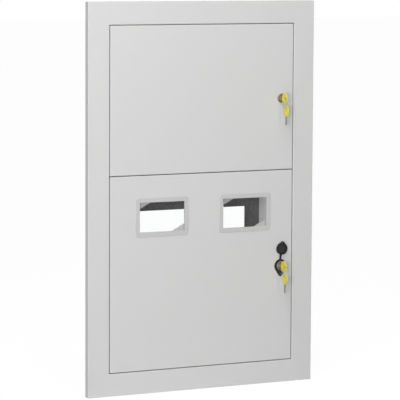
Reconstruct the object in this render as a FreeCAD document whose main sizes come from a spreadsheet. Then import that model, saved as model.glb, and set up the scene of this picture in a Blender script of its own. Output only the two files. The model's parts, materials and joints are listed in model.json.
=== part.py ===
import FreeCAD, Part
import math
import os
import re
import Sketcher

# Flush-mounted electric meter box with two doors, in millimetres.
# Every piece is drawn in the face frame: x to the right, y into the wall from the front face,
# z up, with the origin at the middle of the front face. Its placement then moves it forward,
# so that the finished part has its origin on the wall plane, in the middle of the wall fixings.

# Driving dimensions
SIZES = {
    # trim frame
    "face_width": 650.0,
    "face_height": 1000.0,
    "side_border": 59.0,
    "end_border": 58.0,
    "thickness": 1.5,
    "bend_radius": 2.0,
    "rim_depth": 17.0,
    "stop_depth": 21.0,
    "stop_width": 26.0,
    # body
    "inner_depth": 150.0,
    "wall_inset": 18.0,
    "body_flange": 15.0,
    "back_flange": 15.0,
    "end_tab": 12.0,
    "tab_margin": 8.0,
    "cutout_inset": 44.0,
    "cutout_drop": 108.5,
    "cutout_foot": 76.0,
    "fixing_inset_x": 33.0,
    "fixing_inset_z": 34.0,
    "fixing_hole": 9.0,
    "board_hole": 6.5,
    "board_hole_inset": 22.0,
    "board_hole_rise": 16.0,
    "meter_bar_height": 18.0,
    "meter_bar_end": 6.0,
    "meter_bar_thickness": 2.0,
    "meter_slot_length": 22.0,
    "meter_slot_width": 5.5,
    "bar_screw_head": 5.5,
    "bar_screw_height": 3.0,
    "entry_hole": 28.0,
    "entry_pitch": 90.0,
    "entry_back": 60.0,
    "grommet_lip": 3.0,
    "grommet_flange": 2.5,
    "grommet_wall": 3.0,
    # divider
    "joint_height": 60.5,
    "mullion_height": 32.0,
    "mullion_return": 12.0,
    "cable_slot_width": 120.0,
    "cable_slot_depth": 60.0,
    "cable_slot_offset": 110.0,
    # doors
    "door_gap": 2.5,
    "end_gap": 1.8,
    "joint_gap": 2.0,
    "door_depth": 16.0,
    "door_lip": 18.0,
    "gasket_inset": 9.5,
    "gasket_width": 8.0,
    "gasket_gap": 0.3,
    # hinges
    "hinge_inset": 8.0,
    "hinge_depth": 6.0,
    "pin_radius": 2.0,
    "pin_play": 0.05,
    "pin_reach": 8.0,
    "pin_head_radius": 4.0,
    "pin_head": 2.0,
    "bush_radius": 3.2,
    "bush_collar": 4.0,
    "bush_flange": 2.0,
    "pivot_plate_thickness": 1.2,
    "pivot_plate_front": 1.0,
    "pivot_plate_width": 14.0,
    # windows
    "window_width": 128.0,
    "window_height": 76.0,
    "window_offset": 120.0,
    "window_shift": 3.0,
    "window_drop": 107.5,
    "bezel_width": 11.5,
    "bezel_proud": 1.5,
    "bezel_corner": 8.0,
    "collar_wall": 2.0,
    "collar_depth": 3.0,
    "collar_play": 0.3,
    "pane_overlap": 4.0,
    "pane_thickness": 2.0,
    "clip_run": 34.0,
    "clip_rise": 17.5,
    "clip_reach": 14.0,
    "clip_thickness": 1.2,
    "stud_offset": 8.5,
    "stud_radius": 2.0,
    "stud_length": 4.0,
    "pane_nut_flats": 7.0,
    "pane_nut_height": 2.6,
    # locks
    "lock_inset": 34.0,
    "upper_lock_height": 185.5,
    "lower_lock_height": 248.2,
    "lock_head_radius": 12.0,
    "lock_head": 2.7,
    "lock_edge": 1.0,
    "barrel_radius": 9.0,
    "barrel_back": 22.2,
    "barrel_play": 0.2,
    "plug_radius": 6.5,
    "plug_play": 0.05,
    "plug_recess": 0.4,
    "tang_side": 7.0,
    "cam_depth": 23.0,
    "cam_thickness": 2.5,
    "cam_reach": 16.5,
    "cam_width": 14.0,
    "cam_play": 0.1,
    "lock_nut_flats": 24.0,
    "lock_nut_height": 4.0,
    "cam_screw_radius": 2.0,
    "cam_screw_head": 3.6,
    "cam_screw_height": 2.2,
    "cam_screw_length": 6.0,
    # keys
    "blade_thickness": 2.0,
    "blade_height": 7.0,
    "blade_length": 22.0,
    "blade_tang": 8.0,
    "keyway_play": 0.2,
    "key_standoff": 0.5,
    "blade_tip": 1.5,
    "groove_height": 1.8,
    "groove_depth": 0.5,
    "head_length": 28.5,
    "head_height": 28.5,
    "head_thickness": 3.4,
    "head_corner": 12.5,
    "recess_radius": 5.0,
    "recess_depth": 0.4,
    "key_hole_radius": 3.0,
    "key_hole_inset": 6.0,
    "ring_radius": 10.2,
    "ring_wire": 0.8,
    "hang_play": 0.45,
    "bitting_pitch": 4.0,
    "bitting_depth": 1.6,
    "bitting_width": 2.4,
    # rubber lock cover
    "cover_thickness": 1.5,
    "cover_radius": 18.5,
    "cover_tip": 4.0,
    "cover_tail": 23.5,
    "neck_width": 5.0,
    "neck_split": 4.0,
    "lid_radius": 17.0,
    "lid_rise": 46.5,
    "lid_tip": 3.5,
    "lid_tip_reach": 14.5,
    "lid_wall": 1.6,
    "lid_rim": 4.0,
    "lid_tilt": 8.0,
    "door_touch_gap": 0.2,
    "split_gap": 0.3,
    # device rails
    "rail_end_gap": 38.0,
    "rail_height": 35.0,
    "rail_channel": 27.0,
    "rail_rise": 7.5,
    "rail_wall": 1.0,
    "rail_slot_length": 15.0,
    "rail_slot_width": 6.2,
    "rail_slot_pitch": 30.0,
    "rail_drop": 90.0,
    "rail_rise_over_shelf": 103.5,
    "bracket_inset": 58.0,
    "bracket_width": 24.0,
    "bracket_wall": 2.0,
    "bracket_rise": 55.0,
    "bracket_half": 17.0,
    "bracket_foot": 16.0,
    "bracket_screw_radius": 2.5,
    "bracket_screw_head": 4.5,
    "bracket_screw_height": 3.0,
    # rivets
    "rivet_radius": 2.0,
    "rivet_head": 4.0,
    "rivet_head_height": 1.1,
    "rivet_tail": 3.0,
    "rivet_tail_height": 2.0,
    "rivet_inset": 6.5,
    "rivet_play": 0.1,
    "frame_rivet_inset_x": 68.0,
    "frame_rivet_inset_z": 94.0,
    "tab_rivet_near": 50.0,
    "tab_rivet_back": 30.0,
    # earth terminal
    "earth_inset": 43.0,
    "earth_rise": 38.5,
    "earth_radius": 3.0,
    "earth_length": 18.0,
    "earth_washer_radius": 6.5,
    "earth_washer_height": 1.2,
    "earth_nut_flats": 10.0,
    "earth_nut_height": 5.0,
}
BOARD_ROWS = 5
BITTING_CUTS = 4

# Lines that several pieces share, written in the names above
OPEN_X = "(face_width / 2 - side_border)"
OPEN_Z = "(face_height / 2 - end_border)"
WALL_X = f"({OPEN_X} - wall_inset)"
WALL_Z = f"({OPEN_Z} - wall_inset)"
LIP_X = f"({OPEN_X} - stop_width)"
LIP_Z = f"({OPEN_Z} - stop_width)"
LIP_BACK = "(stop_depth + thickness)"
DOOR_X = f"({OPEN_X} - door_gap)"
UPPER_LOW = "(joint_height + joint_gap / 2)"
UPPER_TOP = f"({OPEN_Z} - end_gap)"
LOWER_LOW = f"(end_gap - {OPEN_Z})"
LOWER_TOP = "(joint_height - joint_gap / 2)"
HINGE_X = f"(hinge_inset - {DOOR_X})"
LOCK_X = f"({DOOR_X} - lock_inset)"
UPPER_LOCK_Z = f"({UPPER_LOW} + upper_lock_height)"
LOWER_LOCK_Z = f"({LOWER_LOW} + lower_lock_height)"
WINDOW_Z = "(joint_height - window_drop)"
SHELF_TOP = "(joint_height + mullion_height / 2)"
PANE_BACK = "(collar_depth + pane_thickness)"
CUTOUT_X = f"({WALL_X} - cutout_inset)"
CUTOUT_TOP = "(joint_height - cutout_drop)"
CUTOUT_LOW = f"(cutout_foot - {WALL_Z})"
BOARD_X = f"({WALL_X} - board_hole_inset)"
BOARD_TOP = f"({CUTOUT_TOP} + board_hole_rise)"
BOARD_PITCH = f"(({CUTOUT_TOP} - {CUTOUT_LOW}) / {BOARD_ROWS - 1})"
ENTRY_Y = "(inner_depth - entry_back)"
RAIL_END = f"({WALL_X} - rail_end_gap)"
UPPER_RAIL_Z = f"({WALL_Z} - rail_drop)"
LOWER_RAIL_Z = f"({SHELF_TOP} + rail_rise_over_shelf)"
BRACKET_X = f"({WALL_X} - bracket_inset)"
EARTH_X = f"({WALL_X} - earth_inset)"
EARTH_Z = f"({SHELF_TOP} + earth_rise)"

doc = FreeCAD.newDocument("meter_box")
table = doc.addObject("Spreadsheet::Sheet", "sizes")
for row, (alias, number) in enumerate(SIZES.items(), start=1):
    table.set(f"A{row}", alias)
    table.set(f"B{row}", str(number))
    table.setAlias(f"B{row}", alias)
doc.recompute()

finished = []


def bound(text):
    """Point each size name in an expression at its cell in the table."""
    return re.sub(r"[a-z][a-z_]+", lambda word: f"sizes.{word[0]}" if word[0] in SIZES else word[0], str(text))


def number_of(text):
    """Work out an expression of size names as a number."""
    return float(table.evalExpression(bound(text)))


def finish(piece, label):
    """Name a finished piece and move it from the face frame to the wall frame."""
    piece.Label = label
    own = [text for path, text in piece.ExpressionEngine if path.endswith("Placement.Base.y")]
    start = own[0] if own else piece.Placement.Base.y
    piece.setExpression("Placement.Base.y", f"{start} - " + bound("(inner_depth + thickness)"))
    finished.append(piece)


def block(x, y, z):
    """Make a box between two expressions along each axis."""
    box = doc.addObject("Part::Box", "block")
    for prop, axis, (low, high) in zip(("Length", "Width", "Height"), "xyz", (x, y, z)):
        box.setExpression(prop, bound(f"({high}) - ({low})"))
        box.setExpression(f"Placement.Base.{axis}", bound(low))
    return box


def rod(radius, x, y, z, length, along="y"):
    """Make a cylinder that starts at a point and runs along x, y or z."""
    cylinder = doc.addObject("Part::Cylinder", "rod")
    cylinder.setExpression("Radius", bound(radius))
    cylinder.setExpression("Height", bound(length))
    turns = {"x": FreeCAD.Rotation(FreeCAD.Vector(0, 1, 0), 90),
             "y": FreeCAD.Rotation(FreeCAD.Vector(1, 0, 0), -90),
             "z": FreeCAD.Rotation()}
    cylinder.Placement.Rotation = turns[along]
    for axis, place in zip("xyz", (x, y, z)):
        cylinder.setExpression(f"Placement.Base.{axis}", bound(place))
    return cylinder


def hexagon(flats, x, y, z, length):
    """Make a hexagonal prism that runs along y, its size measured across the flats."""
    prism = doc.addObject("Part::Prism", "hexagon")
    prism.Polygon = 6
    prism.setExpression("Circumradius", bound(f"({flats}) / sqrt(3)"))
    prism.setExpression("Height", bound(length))
    prism.Placement.Rotation = FreeCAD.Rotation(FreeCAD.Vector(1, 0, 0), -90)
    for axis, place in zip("xyz", (x, y, z)):
        prism.setExpression(f"Placement.Base.{axis}", bound(place))
    return prism


def join(*shapes):
    """Fuse shapes into one piece."""
    fusion = doc.addObject("Part::MultiFuse", "joined")
    fusion.Shapes = list(shapes)
    fusion.Refine = True
    return fusion


def cut(base, *tools):
    """Take one or more shapes out of a piece."""
    result = doc.addObject("Part::Cut", "cut")
    result.Base = base
    result.Tool = tools[0] if len(tools) == 1 else join(*tools)
    return result


def group(*pieces):
    """Keep separate like solids together as one node."""
    compound = doc.addObject("Part::Compound", "group")
    compound.Links = list(pieces)
    return compound


def edge_numbers(shape, wanted):
    """List the numbers of the edges that pass a test."""
    return [number for number, edge in enumerate(shape.Edges, start=1) if wanted(edge)]


def rounded(base, radius, wanted):
    """Round the edges of a piece that pass a test."""
    doc.recompute()
    fillet = doc.addObject("Part::Fillet", "rounded")
    fillet.Base = base
    size = number_of(radius)
    fillet.Edges = [(number, size, size) for number in edge_numbers(base.Shape, wanted)]
    return fillet


def runs_along(edge, axis):
    """Say whether an edge is straight and parallel to x, y or z."""
    if not isinstance(edge.Curve, (Part.Line, Part.LineSegment)):
        return False
    direction = edge.Curve.Direction
    return abs(abs(getattr(direction, axis)) - 1) < 1e-6


def lies_at(edge, **places):
    """Say whether the middle of an edge is at the stated coordinates, the sign left out."""
    middle = edge.valueAt((edge.FirstParameter + edge.LastParameter) / 2)
    return all(abs(abs(getattr(middle, axis)) - abs(place)) < 1e-4 for axis, place in places.items())


class Panel:
    """A body of sheet metal or moulding, made of pads and pockets on sketches."""

    def __init__(self, name):
        self.body = doc.addObject("PartDesign::Body", name)
        self.count = 0

    def sketch(self, role, offset):
        """Open a sketch on one of the body's origin planes, moved along its normal."""
        self.count += 1
        drawing = self.body.newObject("Sketcher::SketchObject", f"{self.body.Name}_sketch_{self.count}")
        plane = next(part for part in self.body.Origin.OriginFeatures if part.Role == role)
        drawing.AttachmentSupport = [(plane, "")]
        drawing.MapMode = "FlatFace"
        drawing.setExpression("AttachmentOffset.Base.z", bound(offset))
        return drawing

    def polygon(self, drawing, points):
        """Draw a closed outline whose every corner is tied to the table."""
        first = drawing.GeometryCount
        rough = [FreeCAD.Vector(number_of(a), number_of(b), 0) for a, b in points]
        last = len(points) - 1
        for index in range(len(points)):
            end = 0 if index == last else index + 1
            drawing.addGeometry(Part.LineSegment(rough[index], rough[end]), False)
        for index in range(len(points)):
            end = 0 if index == last else index + 1
            drawing.addConstraint(Sketcher.Constraint("Coincident", first + index, 2, first + end, 1))
        for index, (a, b) in enumerate(points):
            for kind, text, value in (("DistanceX", a, rough[index].x), ("DistanceY", b, rough[index].y)):
                place = drawing.addConstraint(Sketcher.Constraint(kind, -1, 1, first + index, 1, value))
                drawing.setExpression(f"Constraints[{place}]", bound(text))
        return drawing

    def pad(self, drawing, length, backwards=True, midplane=False):
        """Raise a sketch into a solid."""
        feature = self.body.newObject("PartDesign::Pad", "pad")
        feature.Profile = drawing
        feature.Reversed = backwards
        feature.Midplane = midplane
        feature.setExpression("Length", bound(length))
        doc.recompute()
        return feature

    def pocket(self, drawing, length, forwards=False):
        """Cut a sketch out of the solid, and make sure that it took something away."""
        before = self.body.Shape.Volume
        feature = self.body.newObject("PartDesign::Pocket", "pocket")
        feature.Profile = drawing
        feature.Reversed = forwards
        feature.setExpression("Length", bound(length))
        doc.recompute()
        if self.body.Shape.Volume >= before - 1e-3:
            raise RuntimeError(f"A pocket of {self.body.Name} cuts nothing")
        return feature

    def fillet(self, radius, wanted):
        """Round the edges of the solid that pass a test."""
        tip = self.body.Tip
        names = [f"Edge{number}" for number in edge_numbers(tip.Shape, wanted)]
        feature = self.body.newObject("PartDesign::Fillet", "fillet")
        feature.Base = (tip, names)
        feature.setExpression("Radius", bound(radius))
        doc.recompute()
        return feature

    def rectangle(self, depth, x, z):
        """Draw a rectangle parallel to the front face at a depth, between expressions."""
        corners = [(x[0], z[0]), (x[1], z[0]), (x[1], z[1]), (x[0], z[1])]
        return self.polygon(self.sketch("XZ_Plane", f"-({depth})"), corners)


def both(text):
    """Give the span from minus a half size to plus it."""
    return (f"-({text})", f"({text})")


def grown(span, margin):
    """Widen a span of two expressions by a margin at each end."""
    return (f"({span[0]}) - ({margin})", f"({span[1]}) + ({margin})")


# Trim frame and body


def frame_rivet_places():
    """Give the places of the rivets that join the frame's stop lip to the body's flanges."""
    side = number_of(f"{OPEN_X} - rivet_inset")
    end = number_of(f"{OPEN_Z} - rivet_inset")
    across = number_of(f"{WALL_X} - frame_rivet_inset_x")
    along = number_of(f"{WALL_Z} - frame_rivet_inset_z")
    places = [(x, z) for x in (-side, side) for z in (-along, 0.0, along)]
    return places + [(x, z) for x in (-across, across) for z in (-end, end)]


def rivet_holes(radius):
    """Give one boring tool for each frame rivet, through lip and flange."""
    return [rod(radius, x, "stop_depth - thickness", z, "thickness * 4") for x, z in frame_rivet_places()]


def make_trim_frame():
    """Fold the face, its outer rim, the door rebate and the stop lip as one welded frame."""
    frame = Panel("trim_frame_body")
    face = (both("face_width / 2"), both("face_height / 2"))
    opening = (both(OPEN_X), both(OPEN_Z))
    frame.pad(frame.rectangle("0", *face), "rim_depth")
    frame.fillet("bend_radius", lambda edge: runs_along(edge, "y") or lies_at(edge, y=0))
    inner_face = [grown(span, "-thickness") for span in face]
    frame.pocket(frame.rectangle("thickness", *inner_face), "rim_depth")
    rebate = [grown(span, "thickness") for span in opening]
    frame.pad(frame.rectangle("thickness / 2", *rebate), f"{LIP_BACK} - thickness / 2")
    frame.pocket(frame.rectangle("0", *opening), "stop_depth")
    frame.pocket(frame.rectangle("0", both(LIP_X), both(LIP_Z)), f"{LIP_BACK} + thickness")
    half_x = number_of(OPEN_X)
    half_z = number_of(OPEN_Z)
    frame.fillet(
        "bend_radius",
        lambda edge: (lies_at(edge, x=half_x, y=0) and runs_along(edge, "z"))
        or (lies_at(edge, z=half_z, y=0) and runs_along(edge, "x")),
    )
    hinge_line = rod("pin_radius + pin_play", HINGE_X, "hinge_depth", f"-({OPEN_Z} + thickness * 2)",
                     f"2 * ({OPEN_Z} + thickness * 2)", along="z")
    finish(cut(frame.body, hinge_line, *rivet_holes("rivet_radius + rivet_play")), "trim_frame")


def make_back_panel():
    """Make the back tray with its flanges, meter cut-out, board holes and wall fixings."""
    outer = (grown(both(WALL_X), "thickness * 2"), grown(both(WALL_Z), "thickness * 2"))
    back = Panel("back_panel_body")
    back.pad(back.rectangle("inner_depth - back_flange", *outer), "back_flange + thickness")
    back.fillet("bend_radius", lambda edge: runs_along(edge, "y")
                or lies_at(edge, y=number_of("inner_depth + thickness")))
    hollow = [grown(span, "-thickness") for span in outer]
    back.pocket(back.rectangle("inner_depth - back_flange", *hollow), "back_flange")
    cutout = (both(CUTOUT_X), (CUTOUT_LOW, CUTOUT_TOP))
    back.pocket(back.rectangle("inner_depth - thickness", *cutout), "thickness * 3")
    reach = "thickness * 3"
    start = "inner_depth - thickness"
    holes = [rod("fixing_hole / 2", f"{side} * ({WALL_X} - fixing_inset_x)", start,
                 f"{end} * ({WALL_Z} - fixing_inset_z)", reach) for side in (-1, 1) for end in (-1, 1)]
    for side in (-1, 1):
        for row in range(BOARD_ROWS):
            holes.append(rod("board_hole / 2", f"{side} * {BOARD_X}", start,
                             f"{BOARD_TOP} - {row} * {BOARD_PITCH}", reach))
    for x, z in bracket_screws():
        holes.append(rod("bracket_screw_radius + rivet_play", x, start, z, reach))
    finish(cut(back.body, *holes), "back_panel")


def make_meter_bar():
    """Make the bar across the top of the cut-out, with a slot behind each window, and its screws."""
    front = "(inner_depth - meter_bar_thickness)"
    spans = [(f"{BOARD_TOP} - {half}", f"{BOARD_TOP} + {half}")
             for half in ("meter_bar_height / 2", "meter_slot_width / 2")]
    bar = block(both(f"{BOARD_X} + meter_bar_end"), (front, "inner_depth"), spans[0])
    slots = [block((f"{window_x(side)} - meter_slot_length / 2", f"{window_x(side)} + meter_slot_length / 2"),
                   (f"{front} - thickness", "inner_depth + thickness"), spans[1]) for side in (-1, 1)]
    slots = [rounded(slot, "meter_slot_width * 0.48", lambda edge: runs_along(edge, "y")) for slot in slots]
    holes = []
    screws = []
    for side in (-1, 1):
        x = f"{side} * {BOARD_X}"
        holes.append(rod("board_hole / 2", x, f"{front} - thickness", BOARD_TOP, "thickness * 4"))
        head = rod("bar_screw_head", x, f"{front} - bar_screw_height", BOARD_TOP, "bar_screw_height")
        shank = rod("board_hole / 2 - rivet_play", x, front, BOARD_TOP, "meter_bar_thickness + thickness")
        screws.append(join(head, shank))
    finish(cut(bar, *slots, *holes), "meter_bar")
    finish(group(*screws), "meter_bar_screws")


def make_side_panel(side, label):
    """Fold one side wall: the web, and the flange that the frame's lip is riveted to."""
    web = block(ordered(side, WALL_X, f"{WALL_X} + thickness"), (LIP_BACK, "inner_depth"),
                both(f"{WALL_Z} + thickness"))
    flange = block(ordered(side, WALL_X, f"{WALL_X} + body_flange"), (LIP_BACK, f"{LIP_BACK} + thickness"),
                   both(f"{WALL_Z} + body_flange"))
    folded = rounded(join(web, flange), "bend_radius",
                     lambda edge: runs_along(edge, "z")
                     and lies_at(edge, x=number_of(WALL_X), y=number_of(LIP_BACK)))
    holes = [rod("rivet_radius + rivet_play", x, "stop_depth", z, "thickness * 3")
             for x, z in frame_rivet_places() if x * side > number_of(WALL_X)]
    holes += [tab_hole(y, z) for y, z in tab_rivet_places()]
    finish(cut(folded, *holes), label)


def ordered(side, low, high):
    """Give a span on one side of the middle, smallest value first."""
    return (low, high) if side > 0 else (f"-({high})", f"-({low})")


def tab_rivet_places():
    """Give depth and height of the rivets through the end tabs of the cross panels and the shelf."""
    top = number_of(f"{WALL_Z} - end_tab / 2")
    shelf = number_of(f"{SHELF_TOP} - thickness - end_tab / 2")
    depths = (number_of("tab_rivet_near"), number_of("inner_depth - tab_rivet_back"))
    return [(y, z) for z in (-top, shelf, top) for y in depths]


def tab_hole(y, z):
    """Make one boring tool along x that goes through both side walls and the tabs."""
    reach = f"({WALL_X} + thickness * 3)"
    return rod("rivet_radius + rivet_play", f"-{reach}", y, z, f"2 * {reach}", along="x")


def entry_places():
    """Give the x places of the cable entries in the top and bottom walls."""
    return [f"{step} * entry_pitch" for step in (-1, 0, 1)]


def make_cross_panel(end, label):
    """Fold the top or bottom wall with its front flange, end tabs and cable entries."""
    web = block(both(WALL_X), (LIP_BACK, "inner_depth"), ordered(end, WALL_Z, f"{WALL_Z} + thickness"))
    flange = block(both(WALL_X), (LIP_BACK, f"{LIP_BACK} + thickness"),
                   ordered(end, WALL_Z, f"{WALL_Z} + body_flange"))
    tabs = [block(ordered(side, f"{WALL_X} - thickness", WALL_X),
                  (f"{LIP_BACK} + tab_margin", "inner_depth - tab_margin"),
                  ordered(end, f"{WALL_Z} - end_tab", f"{WALL_Z} + thickness")) for side in (-1, 1)]
    folded = rounded(join(web, flange, *tabs), "bend_radius",
                     lambda edge: runs_along(edge, "x")
                     and lies_at(edge, y=number_of(LIP_BACK), z=number_of(WALL_Z)))
    hole_low = ordered(end, f"{WALL_Z} - thickness", f"{WALL_Z} + thickness * 2")[0]
    holes = [rod("entry_hole / 2", x, ENTRY_Y, hole_low, "thickness * 3", along="z") for x in entry_places()]
    holes += [rod("rivet_radius + rivet_play", x, "stop_depth", z, "thickness * 3")
              for x, z in frame_rivet_places() if z * end > number_of(WALL_Z)]
    holes += [tab_hole(y, z) for y, z in tab_rivet_places() if z * end > number_of(SHELF_TOP)]
    finish(cut(folded, *holes), label)


def make_divider_shelf():
    """Fold the shelf between the compartments: its front strip is the mullion behind the joint."""
    low = "(joint_height - mullion_height / 2)"
    strip = block(both(LIP_X), ("stop_depth", LIP_BACK), (low, SHELF_TOP))
    lower_return = block(both(LIP_X), ("stop_depth", "stop_depth + mullion_return"),
                         (low, f"{low} + thickness"))
    web_height = (f"{SHELF_TOP} - thickness", SHELF_TOP)
    neck = block(both(LIP_X), ("stop_depth", f"{LIP_BACK} + thickness"), web_height)
    web = block(both(WALL_X), (f"{LIP_BACK} + thickness", "inner_depth"), web_height)
    tabs = [block(ordered(side, f"{WALL_X} - thickness", WALL_X),
                  (f"{LIP_BACK} + tab_margin", "inner_depth - tab_margin"),
                  (f"{SHELF_TOP} - thickness - end_tab", SHELF_TOP)) for side in (-1, 1)]
    folded = rounded(join(strip, lower_return, neck, web, *tabs), "bend_radius",
                     lambda edge: runs_along(edge, "x") and edge.Length > number_of(LIP_X)
                     and (lies_at(edge, y=number_of("stop_depth"), z=number_of(SHELF_TOP))
                          or lies_at(edge, y=number_of("stop_depth"), z=number_of(low))))
    middle = f"(({LIP_BACK} + inner_depth) / 2)"
    slots = [block((f"{side} * cable_slot_offset - cable_slot_width / 2",
                    f"{side} * cable_slot_offset + cable_slot_width / 2"),
                   (f"{middle} - cable_slot_depth / 2", f"{middle} + cable_slot_depth / 2"),
                   (f"{SHELF_TOP} - thickness * 2", f"{SHELF_TOP} + thickness")) for side in (-1, 1)]
    shelf_z = number_of(f"{SHELF_TOP} - thickness - end_tab / 2")
    holes = [tab_hole(y, z) for y, z in tab_rivet_places() if abs(z - shelf_z) < 1e-6]
    finish(cut(folded, *slots, *holes), "divider_shelf")


def rivet_shape(grip):
    """Turn a blind rivet about z: a low domed head below zero, the shank and the set tail."""
    radius = number_of("rivet_radius")
    head = number_of("rivet_head")
    rise = number_of("rivet_head_height")
    tail = number_of("rivet_tail")
    end = grip + number_of("rivet_tail_height")
    outline = [(0, -rise), (head * 0.6, -rise), (head, -rise * 0.35), (head, 0), (radius, 0),
               (radius, grip), (tail, grip), (tail, end), (0, end)]
    wire = Part.makePolygon([FreeCAD.Vector(x, 0, z) for x, z in outline + outline[:1]])
    return Part.Face(wire).revolve(FreeCAD.Vector(0, 0, 0), FreeCAD.Vector(0, 0, 1), 360)


def placed(shape, x, y, z, rotation):
    """Copy a shape to a place and turn it."""
    copy = shape.copy()
    copy.Placement = FreeCAD.Placement(FreeCAD.Vector(x, y, z), rotation)
    return copy


def make_rivets():
    """Set the rivets of the frame lip and of the end tabs."""
    into_wall = FreeCAD.Rotation(FreeCAD.Vector(1, 0, 0), -90)
    front = rivet_shape(number_of("thickness * 2"))
    frame_rivets = doc.addObject("Part::Feature", "frame_rivets")
    frame_rivets.Shape = Part.makeCompound([placed(front, x, number_of("stop_depth"), z, into_wall)
                                            for x, z in frame_rivet_places()])
    finish(frame_rivets, "frame_rivets")
    outside = number_of(f"{WALL_X} + thickness")
    tabs = []
    for side in (-1, 1):
        inwards = FreeCAD.Rotation(FreeCAD.Vector(0, 1, 0), -90 * side)
        tabs += [placed(front, side * outside, y, z, inwards) for y, z in tab_rivet_places()]
    panel_rivets = doc.addObject("Part::Feature", "panel_rivets")
    panel_rivets.Shape = Part.makeCompound(tabs)
    finish(panel_rivets, "panel_rivets")


def make_grommets(end, label):
    """Mould the membrane grommets that close the cable entries of one wall."""
    wall = f"{WALL_Z}" if end > 0 else f"-({WALL_Z} + thickness)"
    grommets = []
    for x in entry_places():
        hole = "entry_hole / 2"
        outside = rod(f"{hole} + grommet_lip", x, ENTRY_Y, f"{wall} + thickness", "grommet_flange", along="z")
        waist = rod(hole, x, ENTRY_Y, wall, "thickness", along="z")
        inside = rod(f"{hole} + grommet_lip", x, ENTRY_Y, f"{wall} - grommet_flange", "grommet_flange",
                     along="z")
        solid = join(outside, waist, inside)
        hollow_low = f"{wall} - grommet_flange" if end < 0 else f"{wall}"
        hollow = rod(f"{hole} - grommet_wall", x, ENTRY_Y, hollow_low, "thickness + grommet_flange", along="z")
        grommets.append(cut(solid, hollow))
    finish(group(*grommets), label)


# Hinges


def make_hinge_pieces():
    """Make the pivot plate between the doors, the end pins and the middle pin."""
    plate = block((f"-{OPEN_X}", f"pivot_plate_width - {OPEN_X}"), ("pivot_plate_front", "stop_depth"),
                  ("joint_height - pivot_plate_thickness / 2", "joint_height + pivot_plate_thickness / 2"))
    plate = rounded(plate, "bend_radius", lambda edge: runs_along(edge, "z")
                    and lies_at(edge, y=number_of("pivot_plate_front")))
    pin_low = "joint_height - pin_reach"
    hole = rod("pin_radius + pin_play", HINGE_X, "hinge_depth", pin_low, "pin_reach * 2", along="z")
    finish(cut(plate, hole), "pivot_plate")
    finish(rod("pin_radius", HINGE_X, "hinge_depth", pin_low, "pin_reach * 2", along="z"), "middle_pivot_pin")
    ends = []
    for end in (-1, 1):
        seat = f"({OPEN_Z} + thickness)"
        head_low = seat if end > 0 else f"-({seat} + pin_head)"
        shank_low = f"{OPEN_Z} - pin_reach" if end > 0 else f"-{seat}"
        head = rod("pin_head_radius", HINGE_X, "hinge_depth", head_low, "pin_head", along="z")
        shank = rod("pin_radius", HINGE_X, "hinge_depth", shank_low, "pin_reach + thickness", along="z")
        ends.append(join(head, shank))
    finish(group(*ends), "end_pivot_pins")


def make_bushes(low, top, label):
    """Mould the two flanged bushes that turn on the pins, in the returns of one door."""
    bushes = []
    for end, edge in ((-1, low), (1, top)):
        spigot_low = f"{edge} - thickness" if end > 0 else edge
        flange_low = f"{edge} - thickness - bush_flange" if end > 0 else f"{edge} + thickness"
        spigot = rod("bush_radius", HINGE_X, "hinge_depth", spigot_low, "thickness", along="z")
        flange = rod("bush_collar", HINGE_X, "hinge_depth", flange_low, "bush_flange", along="z")
        bore_low = flange_low if end > 0 else spigot_low
        bore = rod("pin_radius + pin_play", HINGE_X, "hinge_depth", bore_low, "thickness + bush_flange",
                   along="z")
        bushes.append(cut(join(spigot, flange), bore))
    finish(group(*bushes), label)


# Doors


def make_door(low, top, lock_z, windows, label):
    """Fold one door as a tray: front sheet, four returns and the lips turned in behind."""
    door = Panel(f"{label}_body")
    outline = (both(DOOR_X), (low, top))
    door.pad(door.rectangle("0", *outline), "door_depth")
    door.fillet("bend_radius", lambda edge: runs_along(edge, "y") or lies_at(edge, y=0))
    hollow = [grown(span, "-thickness") for span in outline]
    door.pocket(door.rectangle("thickness", *hollow), "door_depth - thickness * 2")
    mouth = [grown(span, "-door_lip") for span in outline]
    door.pocket(door.rectangle("thickness", *mouth), "door_depth")
    tools = [rod("barrel_radius + barrel_play", LOCK_X, "-thickness", lock_z, "thickness * 3")]
    for edge in (f"{low} - thickness", f"{top} - thickness * 2"):
        tools.append(rod("bush_radius", HINGE_X, "hinge_depth", edge, "thickness * 3", along="z"))
    for side in windows:
        hole_x, hole_z = window_span(side, "collar_wall + collar_play")
        tools.append(block(hole_x, ("-thickness", "thickness * 2"), hole_z))
    finish(cut(door.body, *tools), label)


def make_gasket(low, top, label):
    """Cut the foam strip that runs round the back of a door's lips."""
    outer = [grown(span, "-gasket_inset") for span in (both(DOOR_X), (low, top))]
    inner = [grown(span, "-gasket_width") for span in outer]
    depth = ("door_depth", "stop_depth - gasket_gap")
    finish(cut(block(outer[0], depth, outer[1]), block(inner[0], depth, inner[1])), label)


# Windows


def window_x(side):
    """Give the x place of a window's middle; the pair sits a little towards the locks."""
    return f"({side} * window_offset + window_shift)"


def window_span(side, margin):
    """Give the two spans of a window's clear opening, widened by a margin."""
    halves = (f"(window_width / 2 + {margin})", f"(window_height / 2 + {margin})")
    centres = (window_x(side), WINDOW_Z)
    return [(f"{centre} - {half}", f"{centre} + {half}") for centre, half in zip(centres, halves)]


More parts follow.
